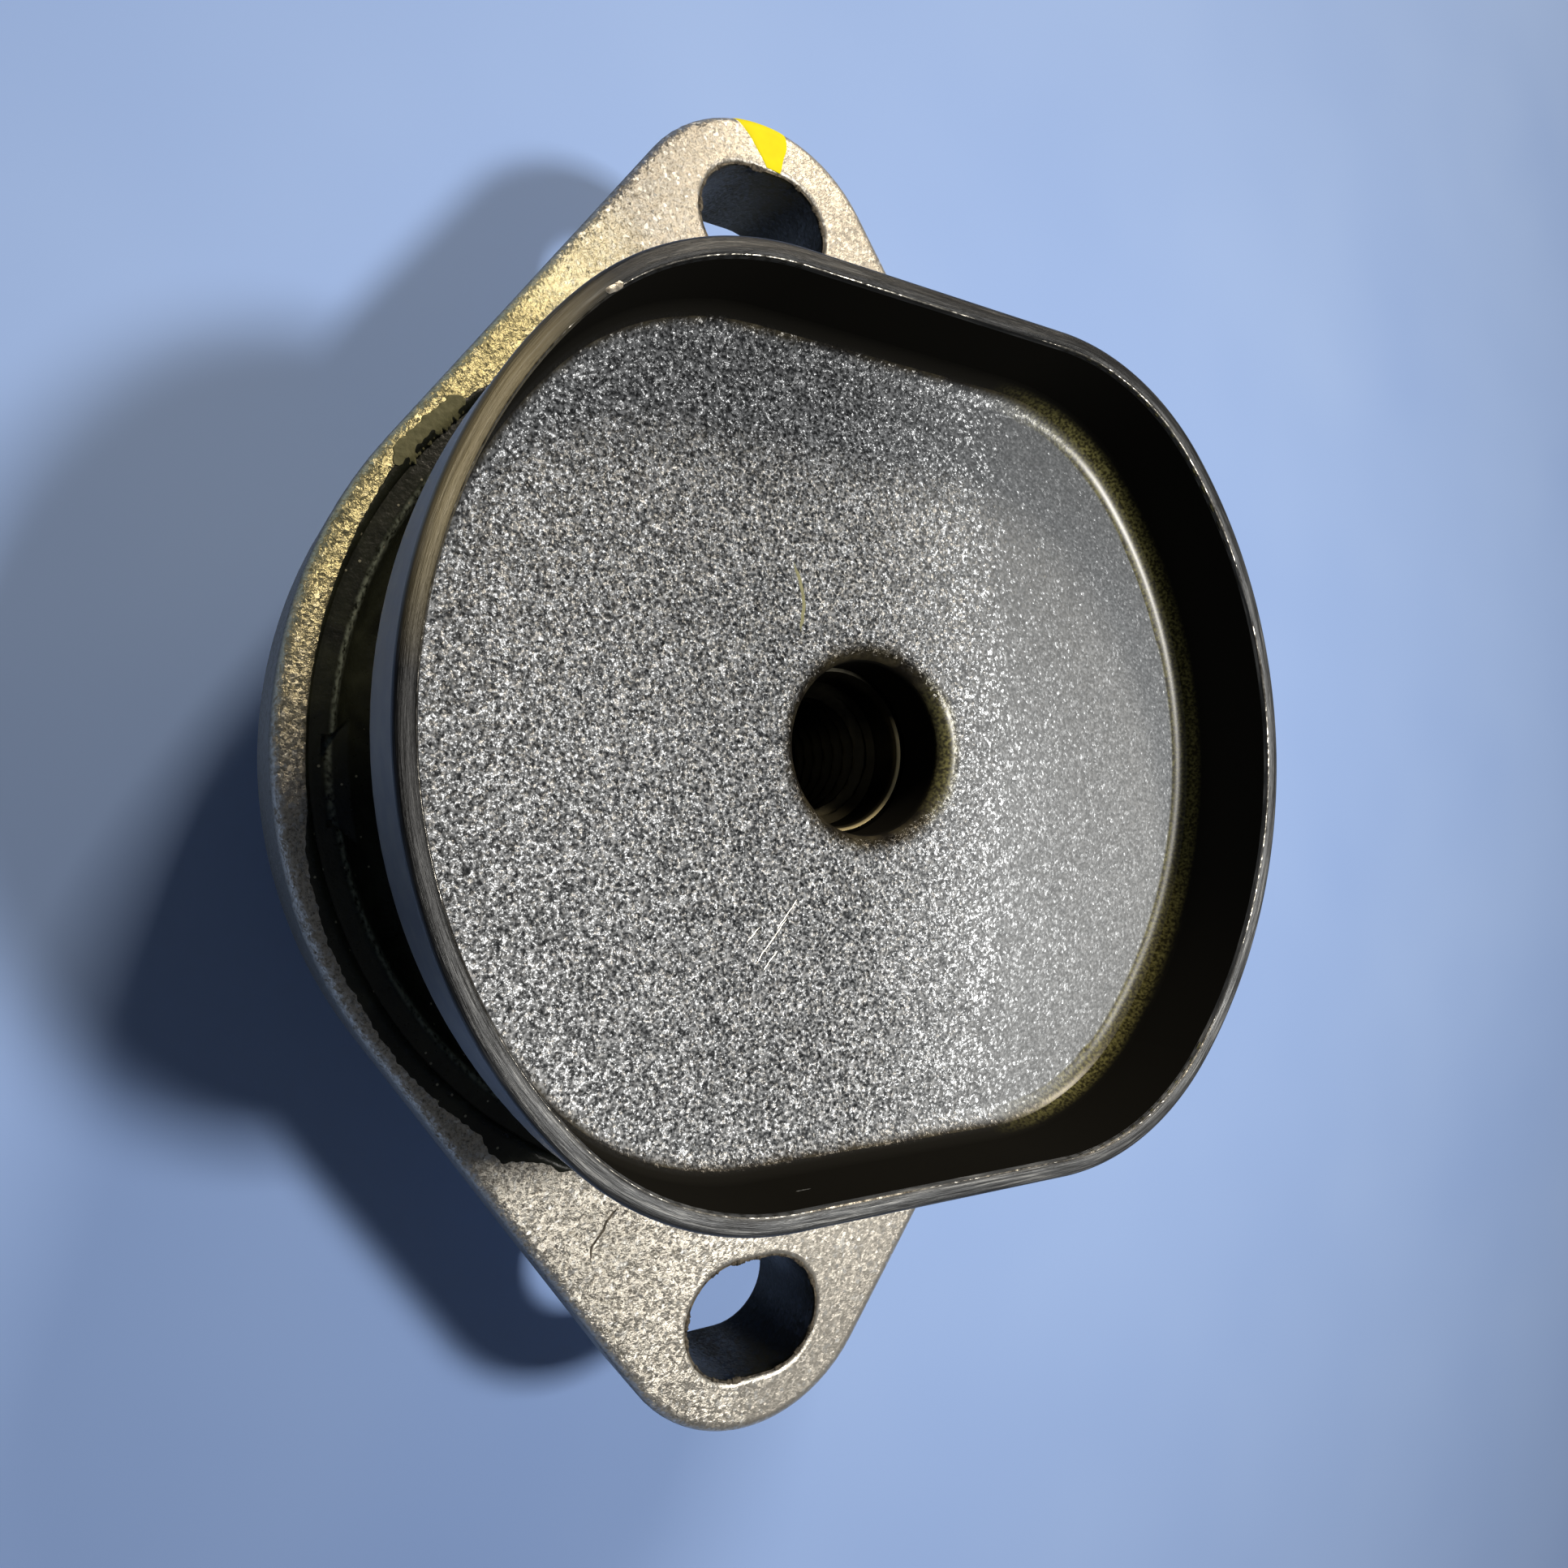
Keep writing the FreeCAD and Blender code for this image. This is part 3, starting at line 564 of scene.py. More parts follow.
def platedSteel():
    # zinc plated pressing: cool grey with a faint spangle and drawing lines
    s = platedFinish
    material, tree, place = newMaterial("zinc_plated_steel")
    spangle = addNode(tree, "TexVoronoi", {"Scale": grain(s["spangle"])}, {"Vector": place})
    cloud = addNode(tree, "TexNoise", {"Scale": grain(s["cloud"]), "Detail": 5.0}, {"Vector": place})
    tint = addNode(tree, "ValToRGB", {"stops": s["tints"]}, {"Fac": cloud})
    sheen = addNode(tree, "MapRange", between(s["roughness"]), {"Value": spangle})
    bump = addNode(tree, "Bump", {"Strength": s["bump"], "Distance": s["bumpDepth"] * mm},
                   {"Height": cloud})
    finishMaterial(tree, {"Metallic": 1.0}, {"Base Color": tint, "Roughness": sheen, "Normal": bump})
    return material


shearedFinish = {
    "streaks": ((0.34, "#292A2B"), (0.52, "#4D4F51"), (0.72, "#8C8D8C")), "streakDepth": 0.06,
    "paintedLightWay": (0.3, -0.95, 0.0), "paintedLightReach": (-30.0, 30.0, 0.32, 1.292),
    "shadedX": (-39.0, -30.0, 0.15, 1), "litY": (6.0, 12.0),
    "warmLight": "#84795A", "warmLightPlace": (-35.5, 16.5), "warmLightReach": (5.0, 15.0, 0.6, 0),
    "roughness": 0.42, "metallic": 0.5,
}


def shearedSteel():
    # the rim's trimmed edge: grey steel with streaks along its length, painted paler towards one
    # corner, painted darker as shade at the lower left, and a patch of painted warm light; the streaks
    # read the surface's own running places
    s = shearedFinish
    material, tree, place = newMaterial("sheared_steel_rim")
    running = addNode(tree, "Attribute", {"attribute_name": "running"})
    streaks = addNode(tree, "TexNoise", {"Scale": 1.0, "Detail": 4.0, "Roughness": 0.65},
                      {"Vector": running.outputs["Vector"]})
    tint = addNode(tree, "ValToRGB", {"stops": s["streaks"]}, {"Fac": streaks})
    # painted shade: darker at the lower left, where X is below about -30 mm and Y below about 12 mm
    level = addNode(tree, "Math", {"operation": "MAXIMUM"},
                    {0: axisShare(tree, place, "X", s["shadedX"]),
                     1: axisShare(tree, place, "Y", s["litY"])})
    # painted light: paler towards -Y, times the painted shade
    shade = shaded(tree, tint, wayShare(tree, place, s["paintedLightWay"], s["paintedLightReach"]), level)
    # painted warm light: a brown gold patch on the rim's upper left
    colour = warmLightOver(tree, place, shade, s, rimHeight)
    bump = addNode(tree, "Bump", {"Distance": s["streakDepth"] * mm}, {"Height": streaks})
    finishMaterial(tree, {"Metallic": s["metallic"], "Roughness": s["roughness"]},
                   {"Base Color": colour, "Normal": bump})
    return material


plainFinishes = {
    # pressure die-cast aluminium: smooth grey skin with cold flow streaks
    "die_cast_aluminium": {
        "cell": 3.5, "noise": {"Detail": 5.0, "Distortion": 1.5},
        "tints": ((0.35, "#8C8D8F"), (0.65, "#B7B8B9")),
        "bump": 0.2, "depth": 0.1, "surface": {"Metallic": 1.0, "Roughness": 0.4},
    },
    # film of rubber squeezed over the metal and torn: thin, dusty and olive grey
    "rubber_flash_torn": {
        "cell": 0.6, "noise": {"Detail": 5.0},
        "tints": ((0.3, "#7A7A57"), (0.6, "#8C8B66"), (0.85, "#A9A680")),
        "bump": 0.6, "depth": 0.15, "surface": {"IOR": 1.5, "Roughness": 0.7},
    },
    # torn steel at a sheared edge: bright, uneven and unplated
    "sheared_steel_burr": {
        "cell": 0.5, "noise": {"Detail": 4.0}, "tints": ((0.35, "#6E6A62"), (0.7, "#C8C4BA")),
        "bump": 0.6, "depth": 0.08, "surface": {"Metallic": 1.0, "Roughness": 0.3},
    },
    # thick paint-pen enamel: flat strong yellow, a soft gloss and a slightly uneven film
    "paint_pen_yellow": {
        "cell": 1.5, "noise": {"Detail": 2.0}, "tints": ((0.25, "#F8E600"), (0.7, "#FFF200")),
        "bump": 0.3, "depth": 0.08, "surface": {"IOR": 1.5, "Roughness": 0.6, "Specular IOR Level": 0.2},
    },
    # oxide and dirt caught in a fold: dull, nearly black brown
    "trapped_oxide": {
        "cell": 0.4, "noise": {"Detail": 3.0}, "tints": ((0.35, "#2E2922"), (0.65, "#7A705F")),
        "bump": 1.0, "depth": 0.05, "surface": {"Roughness": 0.8},
    },
}


def plainFinish(name):
    # one noise both tints the surface through its colour table and roughens it with a bump
    s = plainFinishes[name]
    material, tree, place = newMaterial(name)
    noise = addNode(tree, "TexNoise", {"Scale": grain(s["cell"]), **s["noise"]}, {"Vector": place})
    tint = addNode(tree, "ValToRGB", {"stops": s["tints"]}, {"Fac": noise})
    bump = addNode(tree, "Bump", {"Strength": s["bump"], "Distance": s["depth"] * mm}, {"Height": noise})
    finishMaterial(tree, s["surface"], {"Base Color": tint, "Normal": bump})
    return material


cast = castAluminium()
phosphate = phosphatedSteel()
springSkin = mouldedRubber("moulded_spring_rubber")
membraneSkin = mouldedRubber("moulded_membrane_rubber")
turned = turnedAluminium()
plated = platedSteel()
sheared = shearedSteel()
dieCast, flash, burrSteel, paint, foldOxide = [plainFinish(name) for name in plainFinishes]

finishes = {
    "flange_housing": cast,
    "stop_dish": phosphate,
    "upper_channel_plate": dieCast,
    "lower_channel_plate": dieCast,
    "decoupler_membrane": membraneSkin,
    "diaphragm": membraneSkin,
    "diaphragm_ring": plated,
    "base_cup": plated,
}
for nodeName, finish in finishes.items():
    nodes[nodeName].data.materials.clear()
    nodes[nodeName].data.materials.append(finish)
print("materials: done")


# rubber spring

spring = {
    "mouth": 41.0, "neck": 33.5, "bore": 37.3,
    "mouthDrop": 3.5, "neckHeight": 18.0, "shoulderHeight": 15.5, "gasketHeight": 14.9,
    "topGap": 0.6, "ridgeWidth": 2.4, "ridgeDrop": 0.5, "crown": 0.6, "ridgeStart": 1.8,
    "valleyDrop": 5.2, "valleyInset": 8.5, "saddleRun": 4.5, "saddleRise": 8.5, "saddleBlend": 9.0,
    "skinSetback": 1.6, "coreSkin": 1.5, "blend": 4.0, "lipRun": 2.5, "lipRise": 3.6,
    "neckLining": 2.0, "domeDrop": 6.1, "domeRadius": 19.0,
    "notchWidth": 7.3, "notchOffset": -3.3, "notchDepth": 3.4, "notchReach": 5.4, "notchFlare": 1.6,
    "notchSkin": 1.0, "notchEdge": 0.35, "notchSlope": 1, "notchWall": 0.1, "underSkin": 1.5,
    "columns": 336, "edgeColumns": 6, "edgeReach": 0.03, "angleSamples": 4001,
    "fineStep": 0.14, "plainStep": 0.4, "hiddenStep": 1.2,
    "unevenness": 0.07, "lumps": ((2.3, 5, 0.6), (0.9, 6, 0.4)),   # cell, seed and share of each
}
core = {
    "topRadius": 17.0, "flange": 3.0, "coneTop": 13.5, "coneBottom": 9.5, "root": 3.0, "edge": 0.8,
    "counterbore": 8.85, "counterboreDepth": 4.3, "chamfer": 0.6,
    "pilot": 6.5, "pilotDepth": 3.3, "pilotChamfer": 0.5,
    "threadCore": 5.1, "threadRoot": 5.95, "threadDepth": 13.0, "pitch": 1.75, "drillPoint": 2.5,
    "crestFlat": 0.12, "flank": 0.7, "margin": 0.01,
    "columns": 144, "threadStep": 0.11, "plainStep": 0.5,
}


def springAngles(s):
    # angles packed closer at the four edges of the two notches
    even = np.linspace(0, 2 * math.pi, s["angleSamples"])
    reach = s["mouth"] - s["ridgeWidth"]
    density = np.ones_like(even)
    for side in (-1, 1):
        edge = math.asin((side * (s["notchWidth"] + s["notchFlare"]) / 2 - s["notchOffset"]) / reach)
        for turned in (edge, edge + math.pi):
            away = (even - turned + math.pi) % (2 * math.pi) - math.pi
            density += s["edgeColumns"] * np.exp(-(away / s["edgeReach"]) ** 2)
    total = np.concatenate([[0], np.cumsum((density[1:] + density[:-1]) / 2)])
    return np.interp(np.linspace(0, total[-1], s["columns"] + 1)[:-1], total, even)


def notchShare(s, radius, angles):
    # 1 over a notch, 0 elsewhere: the distance from the notch's middle line against its half
    # width, which grows towards the core, and the radius against the notch's two ends
    side = np.where(np.cos(angles) < 0, -1, 1)
    across = np.abs(side * radius * np.sin(angles) + s["notchOffset"])
    flareStart = s["mouth"] - s["ridgeWidth"] + s["notchFlare"] / 2
    half = s["notchWidth"] / 2 + np.clip(flareStart - radius, 0, s["notchFlare"])
    outer = s["mouth"] - s["notchSkin"]
    inner = outer - s["notchReach"]
    share = 1 - step01(half - s["notchEdge"], half, across)
    return (share * step01(inner, inner + s["notchSlope"], radius)
            * (1 - step01(outer - s["notchWall"], outer, radius)))


def springSurface(s, c):
    # a closed section turned about the axis; over each notch the ridge is lowered to the
    # notch's floor, and the open skin is moved inwards by a smooth noise
    lining = s["mouth"] - s["ridgeWidth"]
    crest = deckHeight - s["ridgeDrop"]
    valley = deckHeight - s["valleyDrop"]
    skinTop = seatHeight - s["skinSetback"]
    flangeFoot = seatHeight - c["flange"]
    inside = s["neck"] - s["neckLining"]
    dome = coreBase - s["underSkin"]
    coreSide = respace(arcCorners([
        (0, coreBase),
        (c["coneBottom"], coreBase, c["root"]),
        (c["coneTop"], flangeFoot, c["root"]),
        (c["topRadius"], flangeFoot, c["edge"]),
        (c["topRadius"], skinTop),
    ]), s["hiddenStep"])[:-1]
    openSkin = arcCorners([
        (c["topRadius"], skinTop),
        (c["topRadius"] + s["coreSkin"], skinTop, s["crown"]),
        (c["topRadius"] + s["saddleRun"], valley + s["saddleRise"], s["saddleBlend"]),
        (s["mouth"] - s["valleyInset"], valley, s["blend"]),
        (lining - s["crown"], valley + s["lipRise"] / 2, s["blend"]),
        (lining + s["crown"], crest, s["crown"]),
        (s["mouth"], deckHeight - s["topGap"]),
    ])
    ridgeFoot = np.argmax(openSkin[:, 0] > lining - s["ridgeStart"])
    plainSkin = respace(openSkin[:ridgeFoot + 1], s["plainStep"])
    ridge = respace(openSkin[ridgeFoot:], s["fineStep"])
    bonded = arcCorners([
        (s["mouth"], deckHeight - s["topGap"]),
        (s["mouth"], deckHeight - s["mouthDrop"]),
        (s["neck"], s["neckHeight"]),
        (s["neck"], s["shoulderHeight"]),
        (s["bore"], s["shoulderHeight"]),
        (s["bore"], s["gasketHeight"]),
        (inside, s["gasketHeight"]),
        (inside - s["lipRun"], s["gasketHeight"] + s["lipRise"], s["blend"]),
        (s["domeRadius"], deckHeight - s["domeDrop"], s["blend"]),
        (c["coneBottom"], dome, s["blend"]),
        (0, dome),
    ])
    section = np.concatenate([coreSide, plainSkin[:-1], ridge[:-1], respace(bonded, s["hiddenStep"])])
    start = len(coreSide)
    openRows = np.zeros(len(section), bool)
    openRows[start + 2:start + len(plainSkin) + len(ridge) - 3] = True
    angles = springAngles(s)
    radius = np.repeat(section[:, :1], len(angles), 1)
    height = np.repeat(section[:, 1:], len(angles), 1)
    floor = deckHeight - s["notchDepth"]
    height = height - openRows[:, None] * notchShare(s, radius, angles) * np.maximum(height - floor, 0)
    points = aboutAxis(radius, angles, height)
    outward = rightOf(np.gradient(section, axis=0))
    rough = sum(latticeNoise(points, cell, seed) * share for cell, seed, share in s["lumps"])
    shift = -s["unevenness"] * (0.5 + 0.5 * rough) * openRows[:, None]
    return points + aboutAxis(shift * outward[:, :1], angles, shift * outward[:, 1:])


springPiece = latheMesh("rubber_spring_skin", springSurface(spring, core), springSkin)
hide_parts("rubber_spring")
print("rubber spring: %d faces" % len(springPiece.data.polygons))


# threaded core

def coreSurface(c):
    # a closed section turned about the axis; along the thread the radius follows a
    # sixty degree wave whose phase climbs one pitch for each turn
    flangeFoot = seatHeight - c["flange"]
    seat = seatHeight - c["counterboreDepth"]
    threadTop = seat - c["pilotDepth"]
    threadEnd = threadTop - c["threadDepth"]
    outside = arcCorners([
        (0, coreBase),
        (c["coneBottom"], coreBase, c["root"]),
        (c["coneTop"], flangeFoot, c["root"]),
        (c["topRadius"], flangeFoot, c["edge"]),
        (c["topRadius"], seatHeight, c["edge"]),
        (c["counterbore"] + c["chamfer"], seatHeight),
        (c["counterbore"], seatHeight - c["chamfer"]),
        (c["counterbore"], seat),
        (c["pilot"] + c["pilotChamfer"], seat),
        (c["pilot"], seat - c["pilotChamfer"]),
        (c["pilot"], threadTop),
    ])
    entry = threadTop - (c["pilot"] - c["threadCore"])
    bore = np.array([(c["pilot"], threadTop), (c["threadCore"], entry), (c["threadCore"], threadEnd)])
    bottom = np.array([(c["threadCore"], threadEnd), (0, threadEnd - c["drillPoint"])])
    section = np.concatenate([
        respace(outside, c["plainStep"])[:-1],
        respace(bore, c["threadStep"])[:-1],
        respace(bottom, c["plainStep"]),
    ])
    angles = oneTurn(c["columns"])
    radius = np.repeat(section[:, :1], len(angles), 1)
    height = np.repeat(section[:, 1:], len(angles), 1)
    phase = (height - threadEnd) / c["pitch"] - angles / (2 * math.pi)
    ramp = np.abs((phase % 1) * 2 - 1)
    groove = np.clip((ramp - c["crestFlat"]) / c["flank"], 0, 1) * (c["threadRoot"] - c["threadCore"])
    inBore = (radius > c["threadCore"] - c["margin"]) & (radius < c["pilot"])
    inBore &= (height < threadTop - c["margin"]) & (height > threadEnd + c["margin"])
    fade = step01(threadEnd, threadEnd + c["pitch"], height)
    radius = np.where(inBore, np.maximum(radius, c["threadCore"] + groove * fade), radius)
    return aboutAxis(radius, angles, height)


corePiece = latheMesh("threaded_core", coreSurface(core), turned)
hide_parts("inner_core")
print("threaded core: %d faces" % len(corePiece.data.polygons))


# rubber film over the mouth's edge

film = {
    "mouth": 41.0, "edgeRadius": 0.7, "thickness": 0.1, "sink": 0.04, "columns": 1400, "rows": 13,
    "ragged": 0.26, "raggedWaves": (13, 29, 61, 97, 143, 211, 307), "raggedLimits": (0.3, 2),
    "leastReach": 0.02, "uneven": 0.3, "unevenWaves": (31, 77, 160),
    # angle in degrees and radius of the outer edge
    "edge": ((-180, 41.15), (-172, 41.3), (-168, 41.9), (-159, 42.3), (-151, 42.4), (-138, 42.6),
             (-129, 42.4), (-127, 43.2), (-125, 43.6), (-123, 42.6), (-119.5, 41.8), (-118, 42.1),
             (-116, 41.4), (0, 41.4), (128, 41.5), (133, 41.9), (147, 41.9), (153, 41.6),
             (162, 41.35), (170, 41.2), (180, 41.15)),
}


def filmSurface(f):
    # a thin strip that follows the mouth's rounded edge and then the deck; its outer edge is a
    # table of radii by angle plus an uneven line
    angles = np.linspace(-math.pi, math.pi, f["columns"] + 1)[:-1]
    table = np.array(f["edge"], float)
    edge = np.interp(np.degrees(angles), table[:, 0], table[:, 1])
    rough = f["ragged"] * wander(angles, f["raggedWaves"], 3)
    edge += rough * np.clip(edge - f["mouth"], *f["raggedLimits"])
    over = np.clip((edge - f["mouth"]) / f["edgeRadius"], f["leastReach"], 1)
    reach = f["edgeRadius"] * np.arccos(1 - over) + np.maximum(edge - f["mouth"] - f["edgeRadius"], 0)
    share = np.concatenate([np.linspace(0, 1, f["rows"]), np.linspace(1, 0, f["rows"])[1:-1]])
    onTop = np.arange(len(share)) < f["rows"]
    along = share[None] * reach[:, None]
    turn = np.clip(along / f["edgeRadius"], 0, math.pi / 2)
    flatPart = np.maximum(along - f["edgeRadius"] * math.pi / 2, 0)
    radius = f["mouth"] + f["edgeRadius"] * (1 - np.cos(turn)) + flatPart
    height = deckHeight - f["edgeRadius"] * (1 - np.sin(turn))
    uneven = 1 - f["uneven"] + f["uneven"] * wander(angles, f["unevenWaves"], 4)[:, None]
    lift = f["thickness"] * np.sqrt(np.clip(1 - share ** 3, 0, 1)) * uneven
    lift = np.where(onTop, lift, -f["sink"])
    radius = radius - lift * np.cos(turn)
    height = height + lift * np.sin(turn)
    return aboutAxis(radius, angles[:, None], height)


filmPiece = tubeMesh("rubber_flash_film", filmSurface(film)[:, ::-1], springSkin)
print("rubber film: %d faces" % len(filmPiece.data.polygons))


# torn scrap of film that lies flat over the mouth's edge

scrap = {
    "from": 134.5, "to": 146.5, "inner": 41.0, "outer": 42.8, "rows": 220, "columns": 20,
    "thickness": 0.1, "lift": 0.02, "sink": 0.03, "uneven": 0.25, "unevenCell": 0.5,
    "droop": 0.5, "droopFrom": 41.9, "droopReach": 1.1, "endTaper": 9, "edgeTaper": 8,
    "outerRagged": 0.35, "outerWaves": (3, 7, 13, 23),
    "innerRagged": 0.4, "innerWaves": (5, 11, 19, 31, 47), "waveStretch": 12,
}


def scrapShells(c):
    # rows follow the angle and columns the radius; both long edges are uneven, and the part
    # inside the mouth's rounded edge sinks with the square of its distance from it
    angles = np.radians(np.linspace(c["from"], c["to"], c["rows"]))
    along = np.linspace(0, 1, c["rows"])
    taper = np.clip(np.minimum(along, 1 - along) * c["endTaper"], 0, 1) ** 0.5
    roughOuter = c["outerRagged"] * wander(angles * c["waveStretch"], c["outerWaves"], 31)
    roughInner = c["innerRagged"] * wander(angles * c["waveStretch"], c["innerWaves"], 32)
    middle = (c["inner"] + c["outer"]) / 2
    outer = middle + (c["outer"] - middle + roughOuter) * taper
    inner = middle - (middle - c["inner"] + roughInner) * taper
    share = np.linspace(0, 1, c["columns"])
    radius = inner[:, None] + (outer - inner)[:, None] * share
    height = deckHeight - c["droop"] * np.clip((c["droopFrom"] - radius) / c["droopReach"], 0, 1) ** 2
    edge = np.clip(np.minimum(share, 1 - share) * c["edgeTaper"], 0, 1) ** 0.5
    place = aboutAxis(radius, angles[:, None], 0 * radius)
    uneven = 1 - c["uneven"] + c["uneven"] * latticeNoise(place, c["unevenCell"], 8)
    levels = (height + c["thickness"] * uneven * edge + c["lift"], height - c["sink"])
    return [np.dstack([place[..., :2], level]) for level in levels]


def slabMesh(name, slabs, material):
    # each slab is two grids of the same size, one over the other, joined round their border
    points, faces, start = [], [], 0
    for top, under in slabs:
        rows, columns = top.shape[:2]
        count = rows * columns
        upper = gridFaces(rows, columns, wrapColumns=False)
        index = np.arange(count).reshape(rows, columns)
        border = np.concatenate([index[0, :-1], index[:-1, -1], index[-1, :0:-1], index[:0:-1, 0]])
        ahead = np.roll(border, -1)
        wall = np.stack([ahead, border, border + count, ahead + count], 1)
        faces.append(np.concatenate([upper, upper[:, ::-1] + count, wall]) + start)
        points += [top.reshape(-1, 3), under.reshape(-1, 3)]
        start += 2 * count
    return addPiece(name, np.concatenate(points), np.concatenate(faces).tolist(), material)


scrapPiece = slabMesh("rubber_scrap", [scrapShells(scrap)], flash)
print("rubber scrap: %d faces" % len(scrapPiece.data.polygons))


# burr on the dish's sheared rim

rim = {
    "radius": 38.5, "halfWidth": 33.1, "corner": 21.5, "height": 0.12, "width": 0.12, "inset": 0.16,
    "stations": 1500, "drop": 0.15,
    "ridge": {"level": 0.4, "waves": (89, 151, 233, 317, 401), "swells": (3, 7, 13, 19)},
}
# a small ridge: its five points across and up, in shares of its width and height, the shares
# of its quick and slow changes, and its least size
ridgeForm = {
    "across": (-0.5, -0.42, 0.0, 0.3, 0.5), "up": (-0.25, 0.5, 1.0, 0.35, -0.25),
    "wave": 0.6, "swell": 1.3, "least": 0.04,
}


def doubleD(radius, halfWidth, corner, count):
    # round ends of the given radius, two flats and four corner arcs, evenly stepped
    reach, lift = radius - corner, halfWidth - corner
    turn = math.asin(lift / reach)
    cornerX = reach * math.cos(turn)
    part = np.linspace(0, 1, 200)[:-1]
    loop = []
    for side, end in ((1, 1), (1, -1), (-1, -1), (-1, 1)):
        low = turn if side * end > 0 else math.pi / 2
        high = math.pi / 2 if side * end > 0 else turn
        local = low + (high - low) * part
        loop.append(np.stack([end * (cornerX + corner * np.cos(local)),
                              side * (lift + corner * np.sin(local))], 1))
        if side * end < 0:
            ends = (math.pi - turn + 2 * turn * part) if side > 0 else (-turn + 2 * turn * part)
            loop.append(radius * np.stack([np.cos(ends), np.sin(ends)], 1))
    return respaceLoop(np.concatenate(loop + [loop[0][:1]]), count)


def ridgeAlong(path, base, width, height, seed, changes):
    # a five sided ridge along a closed level path, whose width and height rise and fall with a
    # level plus sines of many waves and of few
    form = ridgeForm
    angles = oneTurn(len(path))
    rough = changes["level"] + form["wave"] * wander(angles, changes["waves"], seed)
    rough = rough + form["swell"] * wander(angles, changes["swells"], seed + 1)
    size = np.clip(rough, form["least"], 1)[:, None]
    offsets = np.array(form["across"]) * width * (0.5 + size)
    lifts = np.array(form["up"]) * height * size
    place = path[:, None] + rightOfLoop(path)[:, None] * offsets[..., None]
    return np.concatenate([place, (base + lifts)[..., None]], -1)


burrSizes = [rim[size] + rim["inset"] for size in ("radius", "halfWidth", "corner")]
burrRidge = ridgeAlong(doubleD(*burrSizes, rim["stations"]), rimHeight - rim["drop"],
                       rim["width"], rim["height"], 21, rim["ridge"])
burrPiece = tubeMesh("dish_rim_burr", burrRidge, burrSteel, 20)
print("rim burr: %d faces" % len(burrPiece.data.polygons))


# trimmed edge of the rim

trim = {
    "wall": 1.5, "break": 0.5, "proud": 0.012, "sink": 0.04, "stations": 1500, "arcPoints": 6,
    "streakLength": 5.0, "streakWidth": 0.22,
}


def trimSurface(t):
    # a thin band over the rim's flat and its two rounded edges; each place also keeps where it
    # lies along and across the rim, in streaks, wound round a circle so that its ends meet
    path = doubleD(rim["radius"], rim["halfWidth"], rim["corner"], t["stations"])
    side = rightOfLoop(path)
    turn = np.linspace(0, math.pi / 2, t["arcPoints"])
    across = np.concatenate([-np.cos(turn), np.cos(turn[::-1])])
    centre = np.concatenate([np.full(len(turn), t["break"]), np.full(len(turn), t["wall"] - t["break"])])
    upward = np.concatenate([np.sin(turn), np.sin(turn[::-1])])
    shells = []
    for offset in (t["proud"], -t["sink"]):
        reach = centre + (t["break"] + offset) * across
        height = rimHeight - t["break"] + (t["break"] + offset) * upward
        place = path[:, None] + side[:, None] * reach[None, :, None]
        shells.append(np.dstack([place, np.repeat(height[None], len(path), 0)]))
    grid = np.concatenate([shells[0], shells[1][:, ::-1]], 1)
    length = np.hypot(*(path - np.roll(path, 1, 0)).T).sum()
    winding = length / (2 * math.pi) / t["streakLength"] * np.ones(grid.shape[:2])
    level = np.concatenate([centre + across, (centre + across)[::-1]]) / t["streakWidth"]
    running = aboutAxis(winding, oneTurn(len(path))[:, None], level + 0 * winding)
    return grid, running


trimGrid, trimRunning = trimSurface(trim)
trimPiece = tubeMesh("dish_rim_edge", trimGrid[:, ::-1], sheared)
trimPlaces = trimPiece.data.attributes.new("running", "FLOAT_VECTOR", "POINT")
trimPlaces.data.foreach_set("vector", trimRunning[:, ::-1].ravel())
print("rim edge: %d faces" % len(trimPiece.data.polygons))


# paint mark on one lug

mark = {
    "lugRadius": 14.5, "edgeRadius": 1.2, "slotEdge": 9.75, "down": 1.6, "film": 0.06, "sink": 0.05,
    "rows": 70, "columns": 60, "endFade": 12, "sideFade": 10,
    # degrees at the slot and at the edge; the wobble's degrees, quickness and start
    "left": (1.0, -14.5), "leftPower": 0.9, "leftWobble": (0.35, 21, 0),
    "right": (10.0, 9.5), "rightBelly": 1.3, "rightWobble": (0.3, 17, 1),
}


